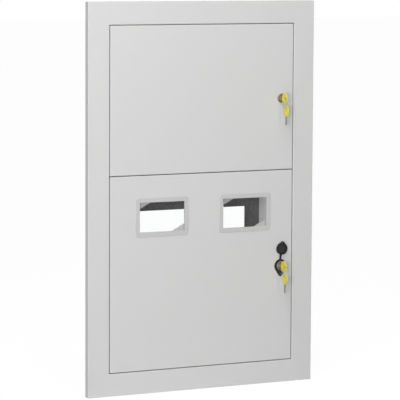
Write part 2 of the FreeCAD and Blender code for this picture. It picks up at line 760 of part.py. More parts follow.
def make_window(side, name):
    """Make one window: the bezel with its collar, the pane and the corner plates behind it."""
    flange_x, flange_z = window_span(side, "bezel_width")
    flange = rounded(block(flange_x, ("-bezel_proud", "0"), flange_z), "bezel_corner",
                     lambda edge: runs_along(edge, "y"))
    flange = rounded(flange, "bezel_proud * 0.6", lambda edge: lies_at(edge, y=number_of("bezel_proud")))
    collar_x, collar_z = window_span(side, "collar_wall")
    collar = block(collar_x, ("-bezel_proud / 2", "collar_depth"), collar_z)
    clear_x, clear_z = window_span(side, "0")
    clear = block(clear_x, ("-bezel_proud * 2", "collar_depth + thickness"), clear_z)
    finish(cut(join(flange, collar), clear), f"{name}_window_bezel")

    pane_x, pane_z = window_span(side, "pane_overlap")
    finish(block(pane_x, ("collar_depth", PANE_BACK), pane_z), f"{name}_window_pane")

    clips = []
    for corner in (-1, 1):
        plate = Panel(f"{name}_clip_{corner + 1}")
        across = f"({window_x(side)} + {corner} * window_width / 2)"
        up = f"({WINDOW_Z} - {corner} * window_height / 2)"
        long_leg = "(clip_run * (1 + clip_reach / clip_rise))"
        short_leg = "(clip_rise * (1 + clip_reach / clip_run))"
        points = [(f"{across} + {corner} * clip_reach", f"{up} - {corner} * clip_reach"),
                  (f"{across} - {corner} * {long_leg}", f"{up} - {corner} * clip_reach"),
                  (f"{across} + {corner} * clip_reach", f"{up} + {corner} * {short_leg}")]
        plate.pad(plate.polygon(plate.sketch("XZ_Plane", f"-{PANE_BACK}"), points), "clip_thickness")
        hole = rod("stud_radius + rivet_play", f"{across} + {corner} * stud_offset", PANE_BACK,
                   f"{up} - {corner} * stud_offset", "clip_thickness")
        clips.append(cut(plate.body, hole))
    finish(group(*clips), f"{name}_pane_clips")


def make_pane_fixings():
    """Make the welded studs of the corner plates and their nuts."""
    studs = []
    nuts = []
    for side in (-1, 1):
        for corner in (-1, 1):
            x = f"{window_x(side)} + {corner} * (window_width / 2 + stud_offset)"
            z = f"{WINDOW_Z} - {corner} * (window_height / 2 + stud_offset)"
            clip_back = f"({PANE_BACK} + clip_thickness)"
            studs.append(rod("stud_radius", x, "thickness", z, f"{clip_back} + stud_length - thickness"))
            nut = hexagon("pane_nut_flats", x, clip_back, z, "pane_nut_height")
            nuts.append(cut(nut, rod("stud_radius + rivet_play", x, clip_back, z, "pane_nut_height")))
    finish(group(*studs), "pane_studs")
    finish(group(*nuts), "pane_nuts")


# Locks and keys


def make_lock(z, seat, name):
    """Make one cam lock: body, nut, turning plug, cam and screw. Seat is what lies under its head."""
    front = f"(-lock_head - {seat})"
    head = rounded(rod("lock_head_radius", LOCK_X, front, z, "lock_head"), "lock_edge",
                   lambda edge: lies_at(edge, y=number_of(front)) and not runs_along(edge, "y"))
    barrel = rod("barrel_radius", LOCK_X, f"-{seat}", z, f"barrel_back + {seat}")
    bore = rod("plug_radius + plug_play", LOCK_X, front, z, f"barrel_back - {front}")
    finish(cut(join(head, barrel), bore), f"{name}_lock_body")

    nut = hexagon("lock_nut_flats", LOCK_X, "thickness", z, "lock_nut_height")
    thread = rod("barrel_radius + rivet_play", LOCK_X, "thickness", z, "lock_nut_height")
    finish(cut(nut, thread), f"{name}_lock_nut")

    plug_front = f"({front} + plug_recess)"
    cylinder = rod("plug_radius", LOCK_X, plug_front, z, f"cam_depth - {plug_front}")
    half = "tang_side / 2"
    tang = block((f"{LOCK_X} - {half}", f"{LOCK_X} + {half}"),
                 ("cam_depth", "cam_depth + cam_thickness - cam_play * 2"), (f"{z} - {half}", f"{z} + {half}"))
    slot_x = "(blade_thickness / 2 + keyway_play)"
    slot_z = "(blade_height / 2 + keyway_play)"
    keyway = block((f"{LOCK_X} - {slot_x}", f"{LOCK_X} + {slot_x}"),
                   (plug_front, f"{front} - key_standoff + blade_length + keyway_play * 2"),
                   (f"{z} - {slot_z}", f"{z} + {slot_z}"))
    screw_low = "(cam_depth + cam_thickness - cam_screw_length)"
    thread = rod("cam_screw_radius", LOCK_X, screw_low, z, "cam_screw_length")
    finish(cut(join(cylinder, tang), keyway, thread), f"{name}_lock_plug")

    cam_width = "cam_width / 2"
    plate = block((f"{LOCK_X} - {cam_width}", f"{LOCK_X} + {cam_width}"),
                  ("cam_depth", "cam_depth + cam_thickness"), (f"{z} - cam_reach", f"{z} + {cam_width}"))
    plate = rounded(plate, "cam_width / 4", lambda edge: runs_along(edge, "y"))
    hole_half = "(tang_side / 2 + cam_play)"
    hole = block((f"{LOCK_X} - {hole_half}", f"{LOCK_X} + {hole_half}"),
                 ("cam_depth - cam_thickness", "cam_depth + cam_thickness * 2"),
                 (f"{z} - {hole_half}", f"{z} + {hole_half}"))
    finish(cut(plate, hole), f"{name}_lock_cam")

    shank = rod("cam_screw_radius", LOCK_X, screw_low, z, "cam_screw_length")
    screw_head = rod("cam_screw_head", LOCK_X, "cam_depth + cam_thickness", z, "cam_screw_height")
    finish(join(shank, screw_head), f"{name}_cam_screw")


def make_key(z, shoulder, hanging, name):
    """Make one key, head and blade, pushed in along y or hanging down along minus z."""
    thick = "head_thickness / 2"
    blade_half = "blade_height / 2"
    tang_x = both("blade_thickness / 2")
    # The key is drawn pointing along y from its shoulder at the origin
    head = block(both(thick), ("-head_length", "0"), both("head_height / 2"))
    head = rounded(head, "head_corner", lambda edge: runs_along(edge, "x"))
    tang = block(tang_x, ("-blade_tang", "0"), both(blade_half))
    eye = rod("key_hole_radius", "-head_thickness", "key_hole_inset - head_length", "0", "head_thickness * 2",
              along="x")
    recesses = [rod("recess_radius", f"{side} * {thick} - recess_depth", "-head_length / 2", "0",
                    "recess_depth * 2", along="x") for side in (-1, 1)]
    head = cut(head, tang, eye, *recesses)
    blade = block(tang_x, ("-blade_tang", "blade_length"), both(blade_half))
    blade = rounded(blade, "blade_tip", lambda edge: runs_along(edge, "x")
                    and lies_at(edge, y=number_of("blade_length")))
    groove = block(("blade_thickness / 2 - groove_depth", "blade_thickness"), ("0", "blade_length * 2"),
                   both("groove_height / 2"))
    bitting = [groove]
    for step in range(BITTING_CUTS):
        low = f"blade_length - {step + 1} * bitting_pitch"
        notch = block(both("blade_thickness"), (low, f"{low} + bitting_width"),
                      (f"-{blade_half} - bitting_depth", f"-{blade_half} + bitting_depth / {1 + step % 2}"))
        bitting.append(notch)
    blade = cut(blade, *bitting)
    for piece, part in ((head, "head"), (blade, "blade")):
        if hanging:
            # Turned so that y points down: the blade hangs below the eye
            piece.Placement.Rotation = FreeCAD.Rotation(FreeCAD.Vector(1, 0, 0), -90)
        for axis, place in zip("xyz", (LOCK_X, shoulder, z)):
            piece.setExpression(f"Placement.Base.{axis}", bound(place))
        finish(piece, f"{name}_{part}")


def make_key_set(z, seat, name):
    """Make the key in the lock, the split ring through its eye and the spare key that hangs on it."""
    shoulder = f"(-lock_head - {seat} - key_standoff)"
    make_key(z, shoulder, False, f"{name}_key")
    eye_y = f"({shoulder} - head_length + key_hole_inset)"
    drop = "(key_hole_radius - ring_wire - hang_play)"
    ring = doc.addObject("Part::Torus", "ring")
    ring.setExpression("Radius1", bound("ring_radius"))
    ring.setExpression("Radius2", bound("ring_wire"))
    ring.Placement.Rotation = FreeCAD.Rotation(FreeCAD.Vector(1, 0, 0), -90)
    for axis, place in zip("xyz", (LOCK_X, eye_y, f"{z} - {drop} - ring_radius")):
        ring.setExpression(f"Placement.Base.{axis}", bound(place))
    finish(ring, f"{name}_key_ring")
    spare_eye = f"({z} - 2 * {drop} - 2 * ring_radius)"
    spare_shoulder = f"({spare_eye} + key_hole_inset - head_length)"
    make_key(spare_shoulder, eye_y, True, f"{name}_spare_key")


# Rubber cover of the lower lock


def teardrop(radius, tip, reach, thickness):
    """Make a plate with a large round end at the origin and a small one above it, along y."""
    lean = math.asin((radius - tip) / reach)
    right = math.cos(lean)
    rise = math.sin(lean)
    big_right = FreeCAD.Vector(radius * right, 0, radius * rise)
    big_left = FreeCAD.Vector(-radius * right, 0, radius * rise)
    small_right = FreeCAD.Vector(tip * right, 0, reach + tip * rise)
    small_left = FreeCAD.Vector(-tip * right, 0, reach + tip * rise)
    edges = [Part.Arc(big_left, FreeCAD.Vector(0, 0, -radius), big_right).toShape(),
             Part.LineSegment(big_right, small_right).toShape(),
             Part.Arc(small_right, FreeCAD.Vector(0, 0, reach + tip), small_left).toShape(),
             Part.LineSegment(small_left, big_left).toShape()]
    return Part.Face(Part.Wire(edges)).extrude(FreeCAD.Vector(0, thickness, 0))


def make_lock_cover():
    """Mould the cover: the base under the lock's head with its neck, and the lid that folds over."""
    z = number_of(LOWER_LOCK_Z)
    x = number_of(LOCK_X)
    thickness = number_of("cover_thickness")
    neck = number_of("neck_width")
    hinge = number_of("cover_radius + neck_split")
    lean = math.sin(math.radians(number_of("lid_tilt")))
    neck_end = hinge - thickness / 2 - number_of("split_gap") - lean * neck / 2
    base = teardrop(number_of("cover_radius"), number_of("cover_tip"), number_of("cover_tail"), thickness)
    base.rotate(FreeCAD.Vector(0, 0, 0), FreeCAD.Vector(0, 1, 0), 180)
    strap = Part.makeBox(neck, thickness, neck_end, FreeCAD.Vector(-neck / 2, 0, 0))
    hole = Part.makeCylinder(number_of("barrel_radius + rivet_play"), thickness,
                             FreeCAD.Vector(0, 0, 0), FreeCAD.Vector(0, 1, 0))
    base = base.fuse(strap).cut(hole).removeSplitter()
    base.translate(FreeCAD.Vector(x, -thickness, z))
    feature = doc.addObject("Part::Feature", "lock_cover_base")
    feature.Shape = base
    finish(feature, "lock_cover_base")

    radius = number_of("lid_radius")
    tip = number_of("lid_tip")
    reach = number_of("lid_tip_reach")
    wall = number_of("lid_wall")
    rim = number_of("lid_rim")
    centre = number_of("lid_rise")
    plate = teardrop(radius, tip, reach, thickness + rim)
    cup = teardrop(radius - wall, tip - wall, reach, rim)
    lid = plate.cut(cup)
    lid.translate(FreeCAD.Vector(0, -thickness - rim, centre))
    strap = Part.makeBox(neck, thickness, centre - radius + wall - hinge,
                         FreeCAD.Vector(-neck / 2, -thickness, hinge))
    fold = Part.makeCylinder(thickness / 2, neck, FreeCAD.Vector(-neck / 2, -thickness / 2, hinge),
                             FreeCAD.Vector(1, 0, 0))
    lid = lid.fuse([strap, fold]).removeSplitter()
    lid.rotate(FreeCAD.Vector(0, 0, hinge), FreeCAD.Vector(0, 1, 0), number_of("lid_tilt"))
    lid.translate(FreeCAD.Vector(x, -number_of("door_touch_gap"), z))
    feature = doc.addObject("Part::Feature", "lock_cover_lid")
    feature.Shape = lid
    finish(feature, "lock_cover_lid")


# Device rails and earth terminal


def foot_screws(side, rail):
    """Give the x and z places of the two screws in the feet of one rail bracket."""
    foot = "(bracket_half + bracket_foot / 2)"
    return [(f"{side} * {BRACKET_X}", f"{rail} + {end} * {foot}") for end in (-1, 1)]


def bracket_screws():
    """Give the places of the screws of all four brackets."""
    brackets = [(side, rail) for rail in (UPPER_RAIL_Z, LOWER_RAIL_Z) for side in (-1, 1)]
    return [place for bracket in brackets for place in foot_screws(*bracket)]


def make_rail_brackets():
    """Fold the hat-shaped brackets that stand on the back panel, and set their screws."""
    brackets = []
    wall = "bracket_wall"
    top = "(inner_depth - bracket_rise)"
    half = "bracket_half"
    foot = "(bracket_half + bracket_foot)"
    for name, rail in (("upper", UPPER_RAIL_Z), ("lower", LOWER_RAIL_Z)):
        for side in (-1, 1):
            hat = Panel(f"{name}_bracket_{side + 1}")
            outline = [("inner_depth", f"-{foot}"), ("inner_depth", f"-{half} + {wall}"),
                       (f"{top} + {wall}", f"-{half} + {wall}"), (f"{top} + {wall}", f"{half} - {wall}"),
                       ("inner_depth", f"{half} - {wall}"), ("inner_depth", foot),
                       (f"inner_depth - {wall}", foot), (f"inner_depth - {wall}", half),
                       (top, half), (top, f"-{half}"),
                       (f"inner_depth - {wall}", f"-{half}"), (f"inner_depth - {wall}", f"-{foot}")]
            points = [(depth, f"{rail} + {height}") for depth, height in outline]
            drawing = hat.polygon(hat.sketch("YZ_Plane", f"{side} * {BRACKET_X}"), points)
            hat.pad(drawing, "bracket_width", midplane=True)
            holes = [rod("bracket_screw_radius + rivet_play", x, f"inner_depth - {wall} * 2", z, f"{wall} * 3")
                     for x, z in foot_screws(side, rail)]
            brackets.append(cut(hat.body, *holes))
    finish(group(*brackets), "rail_brackets")
    screws = []
    seat = f"(inner_depth - {wall})"
    for x, z in bracket_screws():
        head = rod("bracket_screw_head", x, f"{seat} - bracket_screw_height", z, "bracket_screw_height")
        shank = rod("bracket_screw_radius", x, seat, z, f"{wall} + thickness")
        screws.append(join(head, shank))
    finish(group(*screws), "rail_screws")


def make_rail(rail, label):
    """Roll one slotted top-hat rail, its channel seated on the brackets."""
    seat = "(inner_depth - bracket_rise)"
    wall = "rail_wall"
    flange = "rail_height / 2"
    channel = "rail_channel / 2"
    front = f"({seat} - rail_rise)"
    outline = [(front, f"-{flange}"), (front, f"-{channel} + {wall}"),
               (f"{seat} - {wall}", f"-{channel} + {wall}"), (f"{seat} - {wall}", f"{channel} - {wall}"),
               (front, f"{channel} - {wall}"), (front, flange),
               (f"{front} + {wall}", flange), (f"{front} + {wall}", channel), (seat, channel),
               (seat, f"-{channel}"), (f"{front} + {wall}", f"-{channel}"), (f"{front} + {wall}", f"-{flange}")]
    body = Panel(f"{label}_body")
    points = [(depth, f"{rail} + {height}") for depth, height in outline]
    body.pad(body.polygon(body.sketch("YZ_Plane", "0"), points), f"2 * {RAIL_END}", midplane=True)
    slots = []
    half = "rail_slot_length / 2"
    most = int(number_of(f"({RAIL_END} - rail_slot_length) / rail_slot_pitch"))
    for step in range(-most, most + 1):
        centre = f"{step} * rail_slot_pitch"
        slots.append(block((f"{centre} - {half}", f"{centre} + {half}"),
                           (f"{seat} - {wall} * 2", f"{seat} + {wall}"),
                           (f"{rail} - rail_slot_width / 2", f"{rail} + rail_slot_width / 2")))
    finish(cut(body.body, *slots), label)


def make_earth_terminal():
    """Make the welded earth stud with its washer and nut."""
    finish(rod("earth_radius", EARTH_X, "inner_depth - earth_length", EARTH_Z, "earth_length"), "earth_stud")
    washer_front = "(inner_depth - earth_washer_height)"
    washer = rod("earth_washer_radius", EARTH_X, washer_front, EARTH_Z, "earth_washer_height")
    hole = rod("earth_radius + rivet_play", EARTH_X, washer_front, EARTH_Z, "earth_washer_height")
    finish(cut(washer, hole), "earth_washer")
    nut_front = f"({washer_front} - earth_nut_height)"
    nut = hexagon("earth_nut_flats", EARTH_X, nut_front, EARTH_Z, "earth_nut_height")
    hole = rod("earth_radius + rivet_play", EARTH_X, nut_front, EARTH_Z, "earth_nut_height")
    finish(cut(nut, hole), "earth_nut")


def write_pieces():
    """Check every object and write each finished piece to its own file."""
    doc.recompute()
    for thing in doc.Objects:
        if "Invalid" in thing.State or "Error" in thing.State:
            raise RuntimeError(f"{thing.Name} ({thing.Label}) failed: {thing.State}")
    os.makedirs("parts", exist_ok=True)
    for piece in finished:
        if piece.Shape.isNull() or not piece.Shape.isValid() or not piece.Shape.Solids:
            raise RuntimeError(f"{piece.Label} has no valid shape")
    for piece in finished:
        piece.Shape.exportStep(os.path.join("parts", f"{piece.Label}.step"))
        print(f"{piece.Label}: {len(piece.Shape.Solids)} solid(s), {piece.Shape.Volume:.0f} mm3")


make_trim_frame()
make_back_panel()
make_meter_bar()
make_side_panel(-1, "left_side_panel")
make_side_panel(1, "right_side_panel")
make_cross_panel(1, "top_panel")
make_cross_panel(-1, "bottom_panel")
make_divider_shelf()
make_rivets()
make_grommets(1, "top_grommets")
make_grommets(-1, "bottom_grommets")
make_rail_brackets()
make_rail(UPPER_RAIL_Z, "upper_din_rail")
make_rail(LOWER_RAIL_Z, "lower_din_rail")
make_earth_terminal()
make_hinge_pieces()
make_bushes(UPPER_LOW, UPPER_TOP, "upper_door_bushes")
make_bushes(LOWER_LOW, LOWER_TOP, "lower_door_bushes")
make_door(UPPER_LOW, UPPER_TOP, UPPER_LOCK_Z, (), "upper_door")
make_door(LOWER_LOW, LOWER_TOP, LOWER_LOCK_Z, (-1, 1), "lower_door")
make_gasket(UPPER_LOW, UPPER_TOP, "upper_door_gasket")
make_gasket(LOWER_LOW, LOWER_TOP, "lower_door_gasket")
make_window(-1, "left")
make_window(1, "right")
make_pane_fixings()
make_lock(UPPER_LOCK_Z, "0", "upper")
make_lock(LOWER_LOCK_Z, "cover_thickness", "lower")
make_key_set(UPPER_LOCK_Z, "0", "upper")
make_key_set(LOWER_LOCK_Z, "cover_thickness", "lower")
make_lock_cover()
write_pieces()
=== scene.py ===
"""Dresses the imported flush-mounted meter box: finishes, locks, keys, fasteners, light and camera.

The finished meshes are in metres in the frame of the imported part: x to the right, y into the
wall, z up, with the origin on the wall plane in the middle of the box. Sizes of the modelled
pieces are given in millimetres, and each piece takes its place from the node it stands for.
"""

import json
import logging
import math
from dataclasses import dataclass
from enum import Enum
from typing import Callable, Sequence

import bmesh
import bpy
from mathutils import Matrix, Vector

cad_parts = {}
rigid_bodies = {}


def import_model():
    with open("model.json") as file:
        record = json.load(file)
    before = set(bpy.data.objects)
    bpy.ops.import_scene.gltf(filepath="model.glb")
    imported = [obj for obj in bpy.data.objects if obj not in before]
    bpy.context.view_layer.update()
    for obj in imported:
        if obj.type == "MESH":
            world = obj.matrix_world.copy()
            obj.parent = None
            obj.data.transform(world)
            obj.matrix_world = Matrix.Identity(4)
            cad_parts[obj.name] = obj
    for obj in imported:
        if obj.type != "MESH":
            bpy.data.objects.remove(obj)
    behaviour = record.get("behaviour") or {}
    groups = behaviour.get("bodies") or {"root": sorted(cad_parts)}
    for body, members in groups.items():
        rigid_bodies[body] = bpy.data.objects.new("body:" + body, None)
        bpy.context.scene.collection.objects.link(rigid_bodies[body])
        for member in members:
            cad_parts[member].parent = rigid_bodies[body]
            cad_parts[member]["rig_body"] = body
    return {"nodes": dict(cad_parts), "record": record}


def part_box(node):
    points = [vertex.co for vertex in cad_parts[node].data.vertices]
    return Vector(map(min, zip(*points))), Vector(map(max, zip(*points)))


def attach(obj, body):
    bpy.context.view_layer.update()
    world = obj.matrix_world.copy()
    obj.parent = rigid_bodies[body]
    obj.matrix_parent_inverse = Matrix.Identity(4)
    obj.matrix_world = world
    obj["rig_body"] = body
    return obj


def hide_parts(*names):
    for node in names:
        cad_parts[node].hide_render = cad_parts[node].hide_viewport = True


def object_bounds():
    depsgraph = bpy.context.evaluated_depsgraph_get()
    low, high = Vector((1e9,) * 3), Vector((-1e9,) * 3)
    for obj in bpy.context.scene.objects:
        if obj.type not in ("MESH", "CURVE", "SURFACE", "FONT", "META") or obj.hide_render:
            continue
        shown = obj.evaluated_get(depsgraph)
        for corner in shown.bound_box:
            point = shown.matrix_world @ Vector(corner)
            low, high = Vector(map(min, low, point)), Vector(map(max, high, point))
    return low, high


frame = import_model()
CAD_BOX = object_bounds()
MM = 0.001
WELD = 0.0005
SHARP_ANGLE = math.radians(32.0)
WHITE = (1.0, 1.0, 1.0, 1.0)

log = logging.getLogger("meter_box")


class Slot(Enum):
    """The record's material slots, by the maker's name for each finish."""

    PAINT = "grey_paint"
    ZINC = "zinc_steel"
    CHROME = "lock_chrome"
    BRASS = "plug_brass"
    RUBBER = "black_rubber"
    FOAM = "grey_foam"
    PANE = "clear_pane"
    BEZEL = "grey_bezel"
    NYLON = "white_nylon"
    KEY = "yellow_plastic"


class Way(Enum):
    """The directions that a fastener's head or a key's blade can face."""

    LEFT = (-1.0, 0.0, 0.0)
    RIGHT = (1.0, 0.0, 0.0)
    FRONT = (0.0, -1.0, 0.0)
    BACK = (0.0, 1.0, 0.0)
    UP = (0.0, 0.0, 1.0)
    DOWN = (0.0, 0.0, -1.0)


class Socket(Enum):
    """The kinds of socket that a shared effect has."""

    PLACE = "NodeSocketVector"
    COLOUR = "NodeSocketColor"
    VALUE = "NodeSocketFloat"


class Graph:
    """A node tree with short calls to add and join its nodes."""

    def __init__(self, tree: bpy.types.NodeTree) -> None:
        """Takes over the tree of a material, a group or the world, and empties it."""
        tree.nodes.clear()
        self.tree = tree

    def put(self, socket: bpy.types.NodeSocket, value: object) -> None:
        """Joins an output socket to an input socket, or gives the input a plain value.

        Args:
            socket: the input socket.
            value: the output socket or the plain value.
        """
        if isinstance(value, bpy.types.NodeSocket):
            self.tree.links.new(value, socket)
        else:
            socket.default_value = value

    def add(self, kind: str, inputs: dict | None = None, **settings: object) -> bpy.types.Node:
        """Adds a node.

        Args:
            kind: the node's type name.
            inputs: socket names or numbers with a plain value or an output socket to join.
            settings: the node's own properties.

        Returns:
            The new node.
        """
        node = self.tree.nodes.new(kind)
        for name, value in settings.items():
            setattr(node, name, value)
        for socket, value in (inputs or {}).items():
            self.put(node.inputs[socket], value)
        return node

    def noise(self, place: bpy.types.NodeSocket, scale: object, detail: float = 2.0) -> bpy.types.NodeSocket:
        """Adds a noise.

        Args:
            place: the coordinates.
            scale: cells for each metre, a number or an output socket.
            detail: octaves of finer noise.

        Returns:
            The noise value, from 0 to 1.
        """
        node = self.add("ShaderNodeTexNoise", {"Vector": place, "Scale": scale, "Detail": detail})
        return node.outputs["Fac"]

    def between(self, value: bpy.types.NodeSocket, low: float, high: float) -> bpy.types.NodeSocket:
        """Spreads a 0 to 1 value over a range.

        Args:
            value: the 0 to 1 value.
            low: the result at 0.
            high: the result at 1.

        Returns:
            The value within the range.
        """
        node = self.add("ShaderNodeMapRange", {"Value": value, "To Min": low, "To Max": high})
        return node.outputs["Result"]

    def math(self, operation: str, first: object, second: object = 0.0) -> bpy.types.NodeSocket:
        """Adds a sum, product or other operation of two values.

        Args:
            operation: the operation's name.
            first: a number or an output socket.
            second: a number or an output socket.

        Returns:
            The result.
        """
        return self.add("ShaderNodeMath", {0: first, 1: second}, operation=operation).outputs[0]

    def vector(self, operation: str, first: object, second: object = (0.0, 0.0, 0.0)) -> bpy.types.Node:
        """Adds an operation on two vectors.

        Args:
            operation: the operation's name.
            first: a vector or an output socket.
            second: a vector or an output socket.

        Returns:
            The operation's node.
        """
        return self.add("ShaderNodeVectorMath", {0: first, 1: second}, operation=operation)


class SharedEffects:
    """Shader groups that several finishes use, each built once."""

    broad_share: float = 1.2
    fine_share: float = 0.3
    patch_bend: tuple = (0.004, 0.004, 0.004)
    uneven_scale: float = 900.0

    def __init__(self) -> None:
        """Builds every group."""
        self.tone_drift = self._tone_drift()
        self.grain = self._grain()
        self.patches = self._patches()
        self.turned = self._turned()

    @staticmethod
    def _start(name: str, inputs: dict, outputs: dict) -> tuple:
        """Starts a group that works on the object's coordinates.

        Args:
            name: the group's name.
            inputs: the name of each further input with its kind.
            outputs: the name of each output with its kind.

        Returns:
            The group's graph, its input sockets and its output sockets.
        """
        tree = bpy.data.node_groups.new(name, "ShaderNodeTree")
        for in_out, sockets in (("INPUT", {"Place": Socket.PLACE} | inputs), ("OUTPUT", outputs)):
            for label, kind in sockets.items():
                tree.interface.new_socket(label, in_out=in_out, socket_type=kind.value)
        graph = Graph(tree)
        return graph, graph.add("NodeGroupInput").outputs, graph.add("NodeGroupOutput").inputs

    def _tone_drift(self) -> bpy.types.NodeTree:
        """Lets a colour drift a little in broad soft patches and in fine specks.

        Returns:
            The group.
        """
        graph, given, out = self._start(
            "tone_drift",
            {"Color": Socket.COLOUR, "Amount": Socket.VALUE, "Broad Scale": Socket.VALUE,
             "Fine Scale": Socket.VALUE},
            {"Color": Socket.COLOUR})
        broad = graph.noise(given["Place"], given["Broad Scale"])
        fine = graph.noise(given["Place"], given["Fine Scale"], 1.0)
        both = graph.math("ADD", graph.math("MULTIPLY", broad, self.broad_share), fine)
        level = graph.math("SUBTRACT", both, (self.broad_share + 1.0) / 2)
        offset = graph.math("MULTIPLY", level, given["Amount"])
        value = graph.math("ADD", offset, 1.0)
        drift = graph.add("ShaderNodeHueSaturation", {"Value": value, "Color": given["Color"]})
        graph.put(out["Color"], drift.outputs["Color"])
        return graph.tree

    def _grain(self) -> bpy.types.NodeTree:
        """Makes the small waves of a sprayed or moulded skin.

        Returns:
            The group.
        """
        graph, given, out = self._start(
            "skin_grain",
            {"Wave Scale": Socket.VALUE, "Fine Scale": Socket.VALUE},
            {"Height": Socket.VALUE, "Mask": Socket.VALUE})
        wave = graph.noise(given["Place"], given["Wave Scale"])
        fine = graph.noise(given["Place"], given["Fine Scale"])
        graph.put(out["Height"], graph.math("ADD", wave, graph.math("MULTIPLY", fine, self.fine_share)))
        graph.put(out["Mask"], wave)
        return graph.tree

    def _patches(self) -> bpy.types.NodeTree:
        """Makes the faint crystal patches of a zinc coat.

        Returns:
            The group.
        """
        graph, given, out = self._start("zinc_patches", {"Scale": Socket.VALUE}, {"Mask": Socket.VALUE})
        warp = graph.add("ShaderNodeTexNoise",
                         {"Vector": given["Place"], "Scale": given["Scale"], "Detail": 1.0})
        bent = graph.vector("MULTIPLY", warp.outputs["Color"], self.patch_bend)
        moved = graph.vector("ADD", given["Place"], bent.outputs["Vector"])
        cells = graph.add("ShaderNodeTexVoronoi",
                          {"Vector": moved.outputs["Vector"], "Scale": given["Scale"]})
        grey = graph.add("ShaderNodeRGBToBW", {"Color": cells.outputs["Color"]})
        graph.put(out["Mask"], grey.outputs["Val"])
        return graph.tree

    def _turned(self) -> bpy.types.NodeTree:
        """Makes the fine rings that a lathe leaves round an axis along y.

        Returns:
            The group.
        """
        graph, given, out = self._start("turned_rings", {"Rings": Socket.VALUE}, {"Height": Socket.VALUE})
        flat = graph.vector("MULTIPLY", given["Place"], (1.0, 0.0, 1.0))
        reach = graph.vector("LENGTH", flat.outputs["Vector"])
        wave = graph.math("SINE", graph.math("MULTIPLY", reach.outputs["Value"], given["Rings"]))
        uneven = graph.noise(given["Place"], self.uneven_scale)
        graph.put(out["Height"], graph.math("ADD", wave, uneven))
        return graph.tree


class Surface(Graph):
    """A material in the making, with its Principled shader and its object coordinates."""

    def __init__(self, finish: "Finish", effects: SharedEffects) -> None:
        """Starts the material with the finish's plain values.

        Args:
            finish: the finish.
            effects: the shared effects.
        """
        self.material = bpy.data.materials.new(finish.name)
        self.material.use_nodes = True
        super().__init__(self.material.node_tree)
        self.effects = effects
        self.colour = finish.colour + (1.0,)
        self.roughness = finish.roughness
        self.shader = self.add("ShaderNodeBsdfPrincipled",
                               {"Base Color": self.colour, "Roughness": self.roughness})
        self.output = self.add("ShaderNodeOutputMaterial", {"Surface": self.shader.outputs["BSDF"]})
        self.place = self.add("ShaderNodeTexCoord").outputs["Object"]

    def shade(self, label: str, value: object) -> None:
        """Gives one of the shader's inputs a plain value or an output socket."""
        self.put(self.shader.inputs[label], value)

    def effect(self, group: bpy.types.NodeTree, inputs: dict) -> bpy.types.NodeOutputs:
        """Places a shared effect, on the object's coordinates if no other are given."""
        return self.add("ShaderNodeGroup", {"Place": self.place} | inputs, node_tree=group).outputs

    def drift(self, amount: float, broad: float, fine: float) -> None:
        """Lets the colour drift.

        Args:
            amount: how far it drifts.
            broad: the scale of the broad patches.
            fine: the scale of the specks.
        """
        inputs = {"Color": self.colour, "Amount": amount, "Broad Scale": broad, "Fine Scale": fine}
        self.shade("Base Color", self.effect(self.effects.tone_drift, inputs)["Color"])

    def vary_roughness(self, mask: bpy.types.NodeSocket, less: float, more: float) -> None:
        """Lets the roughness vary with a mask.

        Args:
            mask: the mask, from 0 to 1.
            less: how far the roughness falls below its plain value.
            more: how far it rises above it.
        """
        self.shade("Roughness", self.between(mask, self.roughness - less, self.roughness + more))

    def relief(self, height: bpy.types.NodeSocket, depth: float) -> None:
        """Gives the surface a fine relief, with its depth in metres."""
        bump = self.add("ShaderNodeBump", {"Height": height, "Distance": depth, "Strength": 1.0})
        self.shade("Normal", bump.outputs["Normal"])

    def grain(self, waves: float, fine: float, depth: float) -> bpy.types.NodeSocket:
        """Gives the skin its small waves.

        Args:
            waves: the scale of the waves.
            fine: the scale of the finer ones on them.
            depth: their depth in metres.

        Returns:
            The waves' mask.
        """
        grain = self.effect(self.effects.grain, {"Wave Scale": waves, "Fine Scale": fine})
        self.relief(grain["Height"], depth)
        return grain["Mask"]


@dataclass(frozen=True)
class Finish:
    """What every finish has: its material's name and its plain surface values."""

    name: str
    colour: tuple
    roughness: float

    def build(self, effects: SharedEffects) -> bpy.types.Material:
        """Builds the material.

        Args:
            effects: the shared effects.

        Returns:
            The material.
        """
        surface = Surface(self, effects)
        self.dress(surface)
        return surface.material

    def dress(self, surface: Surface) -> None:
        """Adds what sets a finish apart, which each kind of finish has by itself."""
        raise NotImplementedError


@dataclass(frozen=True)
class MouldedSkin(Finish):
    """Moulded plastic, rubber or foam: a soft skin with its own grain."""

    drift: float = 0.03
    broad_scale: float = 40.0
    speck_scale: float = 1600.0
    wave_scale: float = 500.0
    fine_scale: float = 2200.0
    depth: float = 0.00003
    rough_range: tuple = (0.06, 0.06)
    specular: float = 0.5

    def dress(self, surface: Surface) -> None:
        """Adds the drift of the colour, the grain and the shine.

        Args:
            surface: the material in the making.
        """
        surface.drift(self.drift, self.broad_scale, self.speck_scale)
        mask = surface.grain(self.wave_scale, self.fine_scale, self.depth)
        surface.vary_roughness(mask, *self.rough_range)
        surface.shade("Specular IOR Level", self.specular)


@dataclass(frozen=True)
class PowderCoat(MouldedSkin):
    """Light grey baked powder coat with a fine skin."""

    drift: float = 0.016
    broad_scale: float = 3.0
    speck_scale: float = 900.0
    wave_scale: float = 420.0
    fine_scale: float = 1900.0
    depth: float = 0.00005
    rough_range: tuple = (0.05, 0.05)


